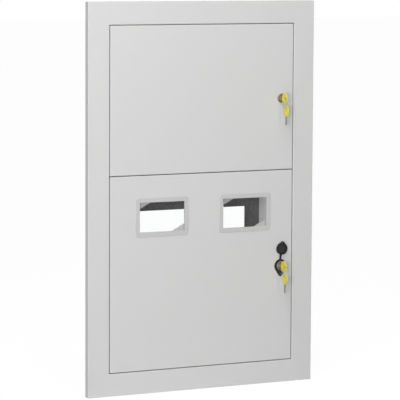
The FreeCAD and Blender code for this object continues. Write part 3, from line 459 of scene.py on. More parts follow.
@dataclass(frozen=True)
class PlatedSteel(Finish):
    """Plated sheet, screws, wire and blades: soft grey metal with faint patches."""

    tint: tuple
    patch_scale: float = 240.0
    rough_range: tuple = (0.06, 0.08)
    wave_scale: float = 900.0
    fine_scale: float = 3000.0
    depth: float = 0.000008

    def dress(self, surface: Surface) -> None:
        """Adds the patches and a faint grain.

        Args:
            surface: the material in the making.
        """
        mask = surface.effect(surface.effects.patches, {"Scale": self.patch_scale})["Mask"]
        colours = {"Factor": mask, "A": surface.colour, "B": self.tint + (1.0,)}
        mixed = surface.add("ShaderNodeMix", colours, data_type="RGBA")
        surface.shade("Base Color", mixed.outputs["Result"])
        surface.vary_roughness(mask, *self.rough_range)
        surface.shade("Metallic", 1.0)
        surface.grain(self.wave_scale, self.fine_scale, self.depth)


@dataclass(frozen=True)
class TurnedMetal(Finish):
    """Metal faced on a lathe: fine rings round the lock's axis."""

    centre: tuple
    rings: float = 3200.0
    ring_depth: float = 0.000012
    drift: tuple = (0.10, 120.0, 1500.0)
    tarnish_scale: float = 500.0
    rough_range: tuple = (0.04, 0.06)

    def dress(self, surface: Surface) -> None:
        """Adds the rings and the tarnish.

        Args:
            surface: the material in the making.
        """
        moved = surface.add("ShaderNodeMapping",
                            {"Vector": surface.place, "Location": tuple(-part for part in self.centre)})
        rings = surface.effect(surface.effects.turned,
                               {"Place": moved.outputs["Vector"], "Rings": self.rings})
        surface.drift(*self.drift)
        surface.vary_roughness(surface.noise(surface.place, self.tarnish_scale), *self.rough_range)
        surface.shade("Metallic", 1.0)
        surface.relief(rings["Height"], self.ring_depth)


@dataclass(frozen=True)
class ClearSheet(Finish):
    """Clear sheet with hardly any haze."""

    refraction: float = 1.26
    drift: tuple = (0.01, 3.0, 900.0)
    haze_scale: float = 60.0
    haze_detail: float = 3.0
    rough_range: tuple = (0.0, 0.02)

    def dress(self, surface: Surface) -> None:
        """Makes the sheet clear and lets light pass it without a shadow.

        Args:
            surface: the material in the making.
        """
        haze = surface.noise(surface.place, self.haze_scale, self.haze_detail)
        surface.vary_roughness(haze, *self.rough_range)
        surface.drift(*self.drift)
        surface.shade("Transmission Weight", 1.0)
        surface.shade("IOR", self.refraction)
        shadow = surface.add("ShaderNodeLightPath").outputs["Is Shadow Ray"]
        open_air = surface.add("ShaderNodeBsdfTransparent").outputs[0]
        mixed = surface.add("ShaderNodeMixShader", {0: shadow, 1: surface.shader.outputs[0], 2: open_air})
        surface.put(surface.output.inputs["Surface"], mixed.outputs[0])


class Finishes:
    """Every finish of the box, built once and given to pieces by slot."""

    def __init__(self, lock_centres: dict) -> None:
        """Builds the materials.

        Args:
            lock_centres: each lock's name with the centre of its face.
        """
        effects = SharedEffects()
        plain = {
            Slot.PAINT: PowderCoat("grey_powder_coat", (0.605, 0.605, 0.603), 0.46),
            # The zinc grey is far darker than bare zinc. This is painted shade: the back panel seen through
            # the windows looks as dark as the shaded inside of the closed box. The rails, screws and rivets
            # share this darker grey.
            Slot.ZINC: PlatedSteel("zinc_plate_painted_shade", (0.19, 0.19, 0.187), 0.55, tint=(0.145, 0.145, 0.142)),
            Slot.CHROME: PlatedSteel("key_nickel", (0.40, 0.395, 0.38), 0.30, tint=(0.33, 0.325, 0.31)),
            Slot.RUBBER: MouldedSkin("black_rubber_skin", (0.022, 0.022, 0.023), 0.60, depth=0.00005,
                                     specular=0.25),
            Slot.FOAM: MouldedSkin("closed_cell_foam", (0.10, 0.10, 0.105), 0.9, wave_scale=900.0,
                                   fine_scale=2600.0, depth=0.0003, drift=0.2, specular=0.2),
            Slot.PANE: ClearSheet("clear_sheet", (0.99, 0.998, 0.995), 0.01),
            Slot.BEZEL: MouldedSkin("grey_moulding", (0.52, 0.52, 0.518), 0.44, drift=0.02),
            Slot.NYLON: MouldedSkin("natural_nylon", (0.76, 0.75, 0.70), 0.45),
            Slot.KEY: MouldedSkin("yellow_key_moulding", (0.66, 0.57, 0.085), 0.36, drift=0.05),
        }
        self.by_slot = {slot: finish.build(effects) for slot, finish in plain.items()}
        self.turned = {}
        for lock, centre in lock_centres.items():
            nickel = TurnedMetal(f"{lock}_nickel", (0.22, 0.215, 0.20), 0.30, centre)
            brass = TurnedMetal(f"{lock}_brass", (0.46, 0.39, 0.23), 0.32, centre)
            self.turned[Slot.CHROME, lock] = nickel.build(effects)
            self.turned[Slot.BRASS, lock] = brass.build(effects)
        self.slots = {row["node"]: Slot(row["material_slot"]) for row in frame["record"]["subparts"]}

    def of(self, node: str) -> bpy.types.Material:
        """Picks the material of a node.

        Args:
            node: the node's name.

        Returns:
            The material of its slot, or the one turned round its own lock's axis.
        """
        slot = self.slots[node]
        if node.endswith(("_lock_body", "_lock_plug")):
            return self.turned[slot, node.split("_")[0]]
        return self.by_slot[slot]

    def dress(self, node: str) -> None:
        """Gives a carried-over node its finish.

        Args:
            node: the node's name.
        """
        mesh = frame["nodes"][node].data
        if not mesh.materials:
            mesh.materials.append(self.of(node))
        for index in range(len(mesh.materials)):
            mesh.materials[index] = self.of(node)


def box_of(node: str) -> tuple[Vector, Vector]:
    """Gives a node's lowest and highest corners in millimetres.

    Args:
        node: the node's name.

    Returns:
        The two corners.
    """
    low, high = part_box(node)
    return low / MM, high / MM


def solids_of(node: str) -> list[tuple[Vector, Vector]]:
    """Finds the separate solids of a node.

    Args:
        node: the node's name.

    Returns:
        The lowest and highest corners of each solid, in millimetres, in a steady order.
    """
    shape = bmesh.new()
    shape.from_mesh(frame["nodes"][node].data)
    bmesh.ops.remove_doubles(shape, verts=shape.verts, dist=WELD * MM)
    waiting = set(shape.verts)
    boxes = []
    while waiting:
        island = [waiting.pop()]
        for vert in island:
            fresh = [edge.other_vert(vert) for edge in vert.link_edges]
            fresh = [other for other in fresh if other in waiting]
            waiting.difference_update(fresh)
            island.extend(dict.fromkeys(fresh))
        sides = [[vert.co[axis] / MM for vert in island] for axis in range(3)]
        boxes.append(([min(side) for side in sides], [max(side) for side in sides]))
    shape.free()
    return [(Vector(low), Vector(high)) for low, high in sorted(boxes)]


@dataclass(frozen=True)
class Axis:
    """The axis of a round piece: where it starts, which way it runs and how long the piece is."""

    start: Vector
    way: Way
    length: float = 0.0

    @classmethod
    def through(cls, box: tuple[Vector, Vector], way: Way, skip: float = 0.0) -> "Axis":
        """Gives the axis through the middle of a box, from the side where it enters.

        Args:
            box: the box's lowest and highest corners.
            way: which way the axis runs.
            skip: how far inside the box it starts.

        Returns:
            The axis.
        """
        low, high = box
        along = Vector(way.value)
        length = abs((high - low).dot(along))
        return cls((low + high) / 2 + along * (skip - length / 2), way, length - skip)

    def point(self, radius: float, reach: float, angle: float = 0.0) -> Vector:
        """Gives a point beside the axis.

        Args:
            radius: its distance from the axis.
            reach: its distance along the axis.
            angle: its angle round the axis.

        Returns:
            The point.
        """
        along = Vector(self.way.value)
        across = along.orthogonal().normalized()
        outwards = across * math.cos(angle) + along.cross(across) * math.sin(angle)
        return self.start + along * reach + outwards * radius


class Piece:
    """One piece in the making, in millimetres in the part's frame."""

    def __init__(self) -> None:
        """Starts an empty shape."""
        self.shape = bmesh.new()

    def loop(self, count: int, place: Callable[[float], Sequence[float]]) -> list[bmesh.types.BMEdge]:
        """Draws a closed loop of points.

        Args:
            count: how many points.
            place: gives the point for an angle from 0 to a full turn.

        Returns:
            The loop's edges.
        """
        verts = bmesh.ops.create_circle(self.shape, segments=count, radius=1.0)["verts"]
        for number, vert in enumerate(verts):
            vert.co = place(math.tau * number / count)
        return list(dict.fromkeys(edge for vert in verts for edge in vert.link_edges))

    def ring(self, axis: Axis, radius: float, reach: float, count: int) -> list[bmesh.types.BMEdge]:
        """Draws a round loop square to an axis.

        Args:
            axis: the axis.
            radius: the loop's radius.
            reach: its distance along the axis.
            count: how many points.

        Returns:
            The loop's edges.
        """
        return self.loop(count, lambda angle: axis.point(radius, reach, angle))

    def skin(self, loops: Sequence[list], closed: bool = False) -> None:
        """Spans a skin over a row of loops that have the same number of points.

        Two loops in one plane would be joined crosswise, so the second one stands off while they are joined.

        Args:
            loops: each loop's edges.
            closed: whether the last loop is joined to the first.
        """
        pairs = list(zip(loops, loops[1:]))
        if closed:
            pairs.append((loops[-1], loops[0]))
        for first, second in pairs:
            stand_off = self._stand_off(first, second)
            verts = list(dict.fromkeys(vert for edge in second for vert in edge.verts))
            bmesh.ops.translate(self.shape, verts=verts, vec=stand_off)
            bmesh.ops.bridge_loops(self.shape, edges=first + second)
            bmesh.ops.translate(self.shape, verts=verts, vec=-stand_off)

    @staticmethod
    def _stand_off(first: list, second: list) -> Vector:
        """Finds how far the second of two loops has to stand off the first one.

        Args:
            first: the first loop's edges.
            second: the second loop's edges.

        Returns:
            A move square to the first loop, on the side where the second one lies.
        """
        middle, other = (sum((vert.co for edge in loop for vert in edge.verts), Vector()) / (2 * len(loop))
                         for loop in (first, second))
        spokes = [(edge.verts[0].co - middle, edge.verts[1].co - middle) for edge in first]
        square = sum((start.cross(end) for start, end in spokes), Vector())
        side = 1.0 if (other - middle).dot(square) >= 0.0 else -1.0
        return square.normalized() * side * max(start.length for start, end in spokes)

    def fill(self, way: Way, *loops: list) -> None:
        """Fills a flat outline, leaving the loops inside it open.

        Args:
            way: the direction square to the outline.
            loops: the outline's edges and those of each hole.
        """
        bmesh.ops.triangle_fill(self.shape, use_beauty=True, normal=way.value,
                                edges=[edge for loop in loops for edge in loop])

    def turn(self, profile: Sequence[tuple], axis: Axis, steps: int) -> None:
        """Turns a profile round an axis, as on a lathe.

        Args:
            profile: pairs of radius and distance along the axis.
            axis: the axis.
            steps: how many flats go round.
        """
        verts = [bmesh.ops.create_vert(self.shape, co=axis.point(radius, reach))["vert"][0]
                 for radius, reach in profile]
        edges = [self.shape.edges.new(pair) for pair in zip(verts, verts[1:])]
        bmesh.ops.spin(self.shape, geom=verts + edges, cent=axis.start, axis=axis.way.value, angle=math.tau,
                       steps=steps, use_merge=True)

    def finish(self, node: str, finishes: Finishes) -> None:
        """Closes the shape, dresses it and lets it stand for a node.

        Args:
            node: the node that it replaces.
            finishes: the finishes.
        """
        bmesh.ops.remove_doubles(self.shape, verts=self.shape.verts, dist=WELD)
        bmesh.ops.dissolve_degenerate(self.shape, edges=self.shape.edges, dist=WELD)
        bmesh.ops.recalc_face_normals(self.shape, faces=self.shape.faces)
        bmesh.ops.scale(self.shape, vec=(MM, MM, MM), verts=self.shape.verts)
        open_edges = sum(not edge.is_manifold for edge in self.shape.edges)
        mesh = bpy.data.meshes.new(f"{node}_detail")
        self.shape.to_mesh(mesh)
        self.shape.free()
        mesh.shade_smooth()
        mesh.set_sharp_from_angle(angle=SHARP_ANGLE)
        mesh.materials.append(finishes.of(node))
        thing = bpy.data.objects.new(f"{node}_detail", mesh)
        bpy.context.scene.collection.objects.link(thing)
        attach(thing, frame["nodes"][node]["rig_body"])
        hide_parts(node)
        log.info("%s: %d faces, %d open edges", thing.name, len(mesh.polygons), open_edges)


@dataclass(frozen=True)
class Thread:
    """A screw thread with a tapered far end."""

    crest: float
    depth: float
    pitch: float
    rings_per_turn: int = 6
    end_cut: float = 0.2

    def radius(self, reach: float, angle: float, end: float) -> float:
        """Gives the thread's radius at a point.

        Args:
            reach: the point's distance along the axis.
            angle: its angle round the axis.
            end: where the thread ends along the axis.

        Returns:
            The radius.
        """
        taper = min(self.crest, self.crest - self.depth - self.end_cut + (end - reach))
        turn = (reach / self.pitch - angle / math.tau) % 1.0
        return min(taper, self.crest - self.depth * (1.0 - abs(2.0 * turn - 1.0)))

    def cut(self, piece: Piece, axis: Axis, start: float, end: float, count: int) -> list[list]:
        """Draws the thread's loops.

        Args:
            piece: the piece in the making.
            axis: the thread's axis.
            start: where the thread starts along the axis.
            end: where it ends.
            count: how many points go round.

        Returns:
            The edges of each loop, from the start to the far end.
        """
        steps = max(2, round((end - start) / self.pitch * self.rings_per_turn))
        reaches = [start + (end - start) * step / steps for step in range(steps + 1)]
        return [piece.loop(count, lambda angle: axis.point(self.radius(reach, angle, end), reach, angle))
                for reach in reaches]


@dataclass
class Fasteners:
    """Nuts, screws, rivets and studs.

    Each nut node has its bore's radius, each screw node the side its heads face, the head's height and
    the shank's radius, and each stud node the side it points to and its pitch. A head's profile is in
    shares of its radius and its height, and so are the half width, the arm and the height of the loops
    of its cross.
    """

    finishes: Finishes
    nut_bores: tuple = (
        ("upper_lock_nut", 9.1), ("lower_lock_nut", 9.1), ("pane_nuts", 2.1), ("earth_nut", 3.1))
    nut_rim: float = 0.95
    nut_sink: float = 0.06
    nut_land: float = 0.1
    nut_count: int = 48
    screw_sizes: tuple = (
        ("rail_screws", Way.FRONT, 3.0, 2.5), ("meter_bar_screws", Way.FRONT, 3.0, 3.15),
        ("upper_cam_screw", Way.BACK, 2.2, 2.0), ("lower_cam_screw", Way.BACK, 2.2, 2.0))
    shank_round: float = 0.4
    head_round: float = 0.15
    head_profile: tuple = ((1.0, 0.35), (0.96, 0.62), (0.86, 0.84), (0.70, 0.96), (0.56, 1.0))
    cross_profile: tuple = ((0.12, 0.46, 1.0), (0.09, 0.30, 0.35))
    rivet_profile: tuple = (
        (0.0, -0.35), (1.1, -0.35), (1.2, -0.92), (1.5, -1.1), (2.4, -1.06), (3.3, -0.78), (3.85, -0.38),
        (4.0, -0.12), (3.95, 0.0), (2.0, 0.0), (2.0, 3.0), (2.85, 3.08), (3.0, 3.6), (2.7, 4.2), (1.8, 4.45),
        (1.45, 4.55), (1.25, 4.92), (0.7, 5.0), (0.0, 5.0))
    rivet_rise: float = 1.1
    rivet_count: int = 24
    stud_pitches: tuple = (("earth_stud", Way.FRONT, 1.0), ("pane_studs", Way.BACK, 0.7))
    thread_depth: float = 0.11
    count: int = 36

    def build(self) -> None:
        """Makes every fastener."""
        for row in self.nut_bores:
            self.nuts(*row)
        for row in self.screw_sizes:
            self.screws(*row)
        for node in ("frame_rivets", "panel_rivets"):
            self.rivets(node)
        for row in self.stud_pitches:
            self.studs(*row)

    def nuts(self, node: str, bore: float) -> None:
        """Makes hexagonal nuts with chamfered corners and a countersunk thread.

        Args:
            node: the node that holds them.
            bore: the radius of the thread's hole.
        """
        piece = Piece()
        for low, high in solids_of(node):
            middle = (low + high) / 2
            half = (high.z - low.z) / 2
            rim = half * self.nut_rim
            sink = min(half * self.nut_sink, rim - bore - self.nut_land)

            def hexagon(angle: float) -> float:
                """Gives the reach of the six flats at an angle."""
                return half / math.cos(angle % (math.pi / 3) - math.pi / 6)

            def point(face: float, side: int, reach: float, angle: float) -> Vector:
                """Gives a point of a face, which falls away at the thread and at the corners.

                Args:
                    face: where the face lies along y.
                    side: -1 for the front face, 1 for the back one.
                    reach: the point's distance from the axis.
                    angle: its angle round the axis.

                Returns:
                    The point.
                """
                fall = max(0.0, reach - rim) * math.tan(math.pi / 6) + max(0.0, bore + sink - reach)
                foot = Vector((middle.x, face - side * fall, middle.z))
                return foot + Vector((math.cos(angle), 0.0, math.sin(angle))) * reach

            reaches = [lambda angle: bore, lambda angle: bore + sink, lambda angle: rim, hexagon]
            loops = [piece.loop(self.nut_count, lambda angle: point(face, side, reach(angle), angle))
                     for face, side, row in ((low.y, -1, reaches), (high.y, 1, reversed(reaches)))
                     for reach in row]
            piece.skin(loops, closed=True)
        piece.finish(node, self.finishes)

    def screws(self, node: str, way: Way, rise: float, shank: float) -> None:
        """Makes pan-head screws with a cross recess.

        Args:
            node: the node that holds them.
            way: where the heads face.
            rise: the height of a head.
            shank: the radius of a shank.
        """
        piece = Piece()
        for low, high in solids_of(node):
            axis = Axis.through((low, high), way)
            head = (high.x - low.x) / 2
            seat = axis.length - rise
            outline = [(shank - self.shank_round, 0.0), (shank, self.shank_round), (shank, seat),
                       (head - self.head_round, seat), (head, seat + self.head_round)]
            outline += [(head * wide, seat + rise * tall) for wide, tall in self.head_profile]
            loops = [piece.ring(axis, radius, reach, self.count) for radius, reach in outline]
            piece.skin(loops)
            piece.fill(way, loops[0])
            crosses = [self._cross(piece, axis, head * wide, head * arm, seat + rise * tall)
                       for wide, arm, tall in self.cross_profile]
            piece.fill(way, loops[-1], crosses[0])
            piece.skin(crosses)
            piece.fill(way, crosses[1])
        piece.finish(node, self.finishes)

    @staticmethod
    def _cross(piece: Piece, axis: Axis, wide: float, arm: float, reach: float) -> list:
        """Draws one cross-shaped loop of a recess.

        Args:
            piece: the piece in the making.
            axis: the screw's axis.
            wide: half the width of an arm.
            arm: how far an arm reaches.
            reach: the loop's distance along the axis.

        Returns:
            The loop's edges.
        """
        corners = [(arm, -wide), (arm, wide), (wide, wide)]
        count = 4 * len(corners)

        def place(angle: float) -> Vector:
            """Gives the corner nearest to an angle.

            Args:
                angle: the angle.

            Returns:
                The corner's point.
            """
            quarter, corner = divmod(round(angle / math.tau * count), len(corners))
            first, second = corners[corner]
            return axis.point(math.hypot(first, second), reach,
                              math.atan2(second, first) + quarter * math.pi / 2)

        return piece.loop(count, place)

    def rivets(self, node: str) -> None:
        """Makes blind rivets with the dimple of the drawn pin and a set tail.

        Args:
            node: the node that holds them.
        """
        piece = Piece()
        for low, high in solids_of(node):
            way = Way.BACK
            if node == "panel_rivets":
                way = Way.LEFT if low.x > 0 else Way.RIGHT
            piece.turn(self.rivet_profile, Axis.through((low, high), way, self.rivet_rise), self.rivet_count)
        piece.finish(node, self.finishes)

    def studs(self, node: str, way: Way, pitch: float) -> None:
        """Makes threaded studs with a tapered far end.

        Args:
            node: the node that holds them.
            way: where they point.
            pitch: the thread's pitch.
        """
        piece = Piece()
        for low, high in solids_of(node):
            axis = Axis.through((low, high), way)
            crest = (high.x - low.x) / 2
            thread = Thread(crest, crest * self.thread_depth, pitch)
            loops = thread.cut(piece, axis, 0.0, axis.length, self.count)
            piece.skin(loops)
            piece.fill(way, loops[0])
            piece.fill(way, loops[-1])
        piece.finish(node, self.finishes)


@dataclass
class CamLock:
    """A cam lock's body with its threaded barrel, and the split ring and key heads that go with it.

    The face's profile goes from the bore's lip to the head's edge, in radius over the bore's or the
    head's and in depth. The recess' wall is given by how much wider it is and how deep. The crank
    between the ring's turns has three parts, each with its share of the angle, its steps and its share
    of the sideways move.
    """

    name: str
    finishes: Finishes
    body_count: int = 64
    head_radius: float = 12.0
    head_depth: float = 2.7
    head_round: float = 0.3
    bore_lip: tuple = ((0.0, 0.6), (0.35, 0.12), (0.7, 0.0))
    face_profile: tuple = (
        (-3.1, 0.0), (-2.8, 0.22), (-2.2, 0.22), (-1.9, 0.0), (-1.0, 0.0), (-0.5, 0.13), (-0.13, 0.5),
        (0.0, 1.0))
    barrel_radius: float = 9.0
    bore_radius: float = 6.55
    thread_pitch: float = 1.5
    thread_depth: float = 0.75
    thread_gap: float = 0.1
    neck: float = 1.6
    ring_radius: float = 10.2
    ring_wire: float = 0.38
    ring_pitch: float = 0.8
    ring_start_deg: float = -60.0
    ring_crank_deg: float = 20.0
    ring_steps: int = 72
    wire_count: int = 12
    crank_parts: tuple = ((0.25, 2, 0.15), (0.5, 4, 0.7), (0.25, 2, 0.15))
    bow_count: int = 72
    hole_count: int = 32
    head_half: float = 14.25
    head_corner: float = 12.5
    shoulder_taper: float = 0.16
    edge_round: float = 1.1
    eye_inset: float = 6.0
    eye_radius: float = 3.0
    eye_lip: float = 0.3
    recess_radius: float = 4.4
    recess_wall: tuple = ((0.3, 0.0), (0.0, 0.12), (-0.2, 0.4))

    def build(self) -> None:
        """Makes the lock's body, both key heads and the ring."""
        self.body()
        self.key_head(f"{self.name}_key_head", Way.FRONT)
        self.key_head(f"{self.name}_spare_key_head", Way.UP)
        self.split_ring()

    def body(self) -> None:
        """Turns the body: a faced head with a shallow groove, and a barrel with a cut thread."""
        node = f"{self.name}_lock_body"
        axis = Axis.through(box_of(node), Way.BACK)
        radius, barrel, back = self.head_radius, self.barrel_radius, self.head_depth
        piece = Piece()
        front = [(self.bore_radius + grow, depth) for grow, depth in self.bore_lip]
        front += [(radius + grow, depth) for grow, depth in self.face_profile]
        front += [(radius, back - self.head_round), (radius - self.head_round, back), (barrel, back),
                  (barrel, back + self.neck)]
        loops = [piece.ring(axis, reach, depth, self.body_count) for reach, depth in front]
        thread = Thread(barrel, self.thread_depth, self.thread_pitch)
        loops += thread.cut(piece, axis, back + self.neck + self.thread_gap, axis.length, self.body_count)
        loops.append(piece.ring(axis, self.bore_radius, axis.length, self.body_count))
        piece.skin(loops, closed=True)
        piece.finish(node, self.finishes)

    def _bow(self, inset: float, angle: float) -> tuple[float, float]:
        """Finds a point of the bow's outline.

        Args:
            inset: how far the outline is moved in.
            angle: the point's angle from the eye's side.

        Returns:
            How far the point lies towards the eye, and how far to its side.
        """
        corner, flat = self.head_corner - inset, self.head_half - self.head_corner
        towards, aside = (corner * part + (math.copysign(flat, part) if abs(part) > 1e-9 else 0.0)
                          for part in (math.cos(angle), math.sin(angle)))
        return towards, aside * (1.0 - self.shoulder_taper * max(0.0, -math.cos(angle)))

    def key_head(self, node: str, out: Way) -> None:
        """Moulds a key's head: a rounded bow with a finger recess and an eye.

        Args:
            node: the head's node.
            out: the direction from the blade to the eye.
        """
        low, high = box_of(node)
        centre = (low + high) / 2
        along, across = Vector(out.value), Vector(Way.RIGHT.value)
        own = Matrix((along, across.cross(along), across)).transposed()
        half_thick = (high.x - low.x) / 2
        piece = Piece()

        def bow(inset: float, depth: float) -> list:
            """Draws the bow's outline, moved in by an inset, at a depth from its middle."""
            return piece.loop(self.bow_count, lambda angle: (
                centre + own @ Vector((*self._bow(inset, angle), depth))))

        def rings(middle: Vector, profile: Sequence[tuple]) -> list[list]:
            """Draws round loops parallel to the bow's faces, for pairs of radius and depth."""
            axis = Axis(middle, Way.RIGHT)
            return [piece.ring(axis, radius, depth, self.hole_count) for radius, depth in profile]

        edge, lip = self.edge_round, self.eye_lip
        rounds = [(edge * (1 - math.sin(turn)), half_thick - edge * (1 - math.cos(turn)))
                  for turn in (0.0, math.pi / 6, math.pi / 3, math.pi / 2)]
        bows = [bow(inset, -depth) for inset, depth in rounds] + [bow(*pair) for pair in reversed(rounds)]
        piece.skin(bows)
        eye = rings(centre + along * (self.head_half - self.eye_inset), (
            (self.eye_radius + lip, -half_thick), (self.eye_radius, lip - half_thick),
            (self.eye_radius, half_thick - lip), (self.eye_radius + lip, half_thick)))
        piece.skin(eye)
        for side, rim, eye_rim in ((-1, bows[0], eye[0]), (1, bows[-1], eye[-1])):
            walls = rings(centre, [(self.recess_radius + grow, side * (half_thick - sink))
                                   for grow, sink in self.recess_wall])
            piece.fill(Way.RIGHT, rim, eye_rim, walls[0])
            piece.skin(walls)
            piece.fill(Way.RIGHT, walls[-1])
        piece.finish(node, self.finishes)

    def split_ring(self) -> None:
        """Winds the split ring: two turns of wire side by side, with a short crank between them."""
        node = f"{self.name}_key_ring"
        low, high = box_of(node)
        centre = (low + high) / 2
        start, crank = math.radians(self.ring_start_deg), math.radians(self.ring_crank_deg)
        spoke, side = Vector((math.cos(start), 0.0, math.sin(start))), Vector(Way.BACK.value)
        wire_middle = centre + spoke * self.ring_radius - side * self.ring_pitch / 2
        piece = Piece()
        edges = piece.loop(self.wire_count, lambda angle: wire_middle + (
            spoke * math.cos(angle) + side * math.sin(angle)) * self.ring_wire)
        geometry = list(dict.fromkeys(vert for edge in edges for vert in edge.verts)) + edges
        turn = (math.tau - crank, self.ring_steps, 0.0)
        parts = [(crank * share, steps, shift) for share, steps, shift in self.crank_parts]
        for angle, steps, shift in (turn, *parts, turn):
            step = (0.0, shift * self.ring_pitch / steps, 0.0)
            geometry = bmesh.ops.spin(piece.shape, geom=geometry, cent=centre, axis=side, angle=angle,
                                      steps=steps, dvec=step)["geom_last"]
        ends = [edge for edge in piece.shape.edges if edge.is_boundary]
        bmesh.ops.holes_fill(piece.shape, edges=ends, sides=0)
        piece.finish(node, self.finishes)


@dataclass
class LockCover:
    """The rubber cover of the lower lock: the base round the lock and the lid on its neck.

    The neck's swell brings its outermost points out to its full width.
    """

    finishes: Finishes
    thickness: float = 1.5
    base_radius: float = 17.7
    base_tip: float = 5.5
    base_tail: float = 22.0
    lock_hole: float = 9.1
    neck_half: float = 2.9
    neck_end: float = 21.6
    neck_reach_deg: float = 8.0
    neck_swell: float = 1.065
    hinge_height: float = 22.5
    lid_radius: float = 15.5
    lid_tip: float = 4.5
    lid_reach: float = 15.0
    lid_height: float = 45.0
    lid_wall: float = 1.6
    lid_rim: float = 4.0
    lid_tilt_deg: float = 8.0
    seal_hole: float = 1.6
    rib_radius: float = 11.4
    rib_half: float = 0.6
    rib_rise: float = 1.6
    rib_round: float = 0.15
    edge_round: float = 0.35
    edge_step: float = 0.1
    rim_step: float = 0.12
    count: int = 96
    rib_count: int = 64
    hole_count: int = 32

    def build(self) -> None:
        """Makes the base and the lid."""
        self.base()
        self.lid()

    def _drop(self, piece: Piece, sizes: tuple, inset: float, depth: float, neck: float | None = None,
              flip: float = 1.0) -> list:
        """Draws a drop-shaped outline: a large round end, a small one above it and a neck below.

        Args:
            piece: the piece in the making.
            sizes: the large radius, the small radius and the distance between their centres.
            inset: how far the outline is moved in.
            depth: its distance in front of the door.
            neck: how far the neck reaches from the large centre, or None where there is none.
            flip: -1 where the small end hangs below.

        Returns:
            The outline's edges.
        """
        large, small, reach = sizes
        lean = (large - small) / reach

        def place(angle: float) -> tuple:
            """Gives the outline's point whose outward direction is at an angle.

            Args:
                angle: the angle.

            Returns:
                The point.
            """
            right, rise = math.cos(angle), math.sin(angle)
            radius, height = (small - inset, reach) if rise > lean else (large - inset, 0.0)
            point = (radius * right, height + radius * rise)
            below = math.degrees(math.atan2(right, -rise)) / self.neck_reach_deg
            if neck is not None and abs(below) < 1.0:
                point = ((self.neck_half - inset) * below * self.neck_swell, inset - neck)
            return point[0] * flip, -depth, point[1] * flip

        return piece.loop(self.count, place)

    def _circles(self, piece: Piece, height: float, profile: Sequence[tuple], count: int) -> list[list]:
        """Draws round loops parallel to the door and joins them.

        Args:
            piece: the piece in the making.
            height: their height over the large end's centre.
            profile: pairs of radius and distance in front of the door.
            count: how many points go round.

        Returns:
            The edges of each loop.
        """
        axis = Axis(Vector((0.0, 0.0, height)), Way.FRONT)
        loops = [piece.ring(axis, radius, depth, count) for radius, depth in profile]
        piece.skin(loops)
        return loops

    def _seat(self, piece: Piece, node: str, height: float, own: Matrix) -> None:
        """Moves a piece from the cover's own axes to its place and finishes it.

        Args:
            piece: the piece in the making.
            node: the node that it stands for.
            height: its height over the lock's middle.
            own: what comes before, in the piece's own axes.
        """
        lock = Axis.through(box_of("lower_lock_body"), Way.BACK).start
        place = Matrix.Translation((lock.x, box_of(node)[1].y, lock.z + height))
        bmesh.ops.transform(piece.shape, matrix=place @ own, verts=piece.shape.verts)
        piece.finish(node, self.finishes)

    def base(self) -> None:
        """Moulds the base plate with the hole for the lock, the neck and the seal hole in its tail."""
        piece = Piece()
        sizes = (self.base_radius, self.base_tip, self.base_tail)
        thickness, edge = self.thickness, self.edge_round
        drops = [self._drop(piece, sizes, inset, depth, self.neck_end, flip=-1.0) for inset, depth in (
            (edge, 0.0), (0.0, edge), (0.0, thickness - edge), (edge, thickness))]
        piece.skin(drops)
        faces = [drops[0], drops[-1]]
        for height, radius in ((0.0, self.lock_hole), (-self.base_tail, self.seal_hole)):
            holes = self._circles(piece, height, ((radius, 0.0), (radius, thickness)), self.hole_count)
            faces = [face + hole for face, hole in zip(faces, holes)]
        for face in faces:
            piece.fill(Way.FRONT, face)
        self._seat(piece, "lock_cover_base", 0.0, Matrix())

    def lid(self) -> None:
        """Moulds the lid: a shallow cup with a sealing rib, a seal hole in its tip and the neck."""
        piece = Piece()
        sizes = (self.lid_radius, self.lid_tip, self.lid_reach)
        thickness, edge = self.thickness, self.edge_round
        half = thickness / 2
        rise = self.lid_height - self.hinge_height
        outer = []
        for inset, depth in ((edge, 0.0), (self.edge_step, edge / 2), (0.0, half),
                             (0.0, thickness - edge / 2), (0.0, thickness)):
            fold = math.sqrt(max(0.0, half * half - (depth - half) ** 2))
            outer.append(self._drop(piece, sizes, inset, depth, rise + fold - inset))
        rim, wall, step = thickness + self.lid_rim, self.lid_wall, self.rim_step
        outer += [self._drop(piece, sizes, inset, depth) for inset, depth in (
            (0.0, thickness), (0.0, rim - edge), (step, rim - step), (edge, rim),
            (wall - edge, rim), (wall - step, rim - step), (wall, rim - edge),
            (wall, thickness + edge), (wall + edge, thickness))]
        piece.skin(outer)
        seal = self._circles(piece, self.lid_reach, ((self.seal_hole, 0.0), (self.seal_hole, thickness)),
                             self.hole_count)
        wide, thin = self.rib_radius + self.rib_half, self.rib_radius - self.rib_half
        top, turn = thickness + self.rib_rise, self.rib_round
        rib = self._circles(piece, 0.0, (
            (wide, thickness), (wide - turn, top - turn), (wide - 2 * turn, top),
            (thin + 2 * turn, top), (thin + turn, top - turn), (thin, thickness)), self.rib_count)
        piece.fill(Way.FRONT, outer[0], seal[0])
        piece.fill(Way.FRONT, outer[-1], seal[1], rib[0])
        piece.fill(Way.FRONT, rib[-1])
        tilt = Matrix.Rotation(math.radians(self.lid_tilt_deg), 4, "Y")
        self._seat(piece, "lock_cover_lid", self.hinge_height, tilt @ Matrix.Translation((0.0, 0.0, rise)))


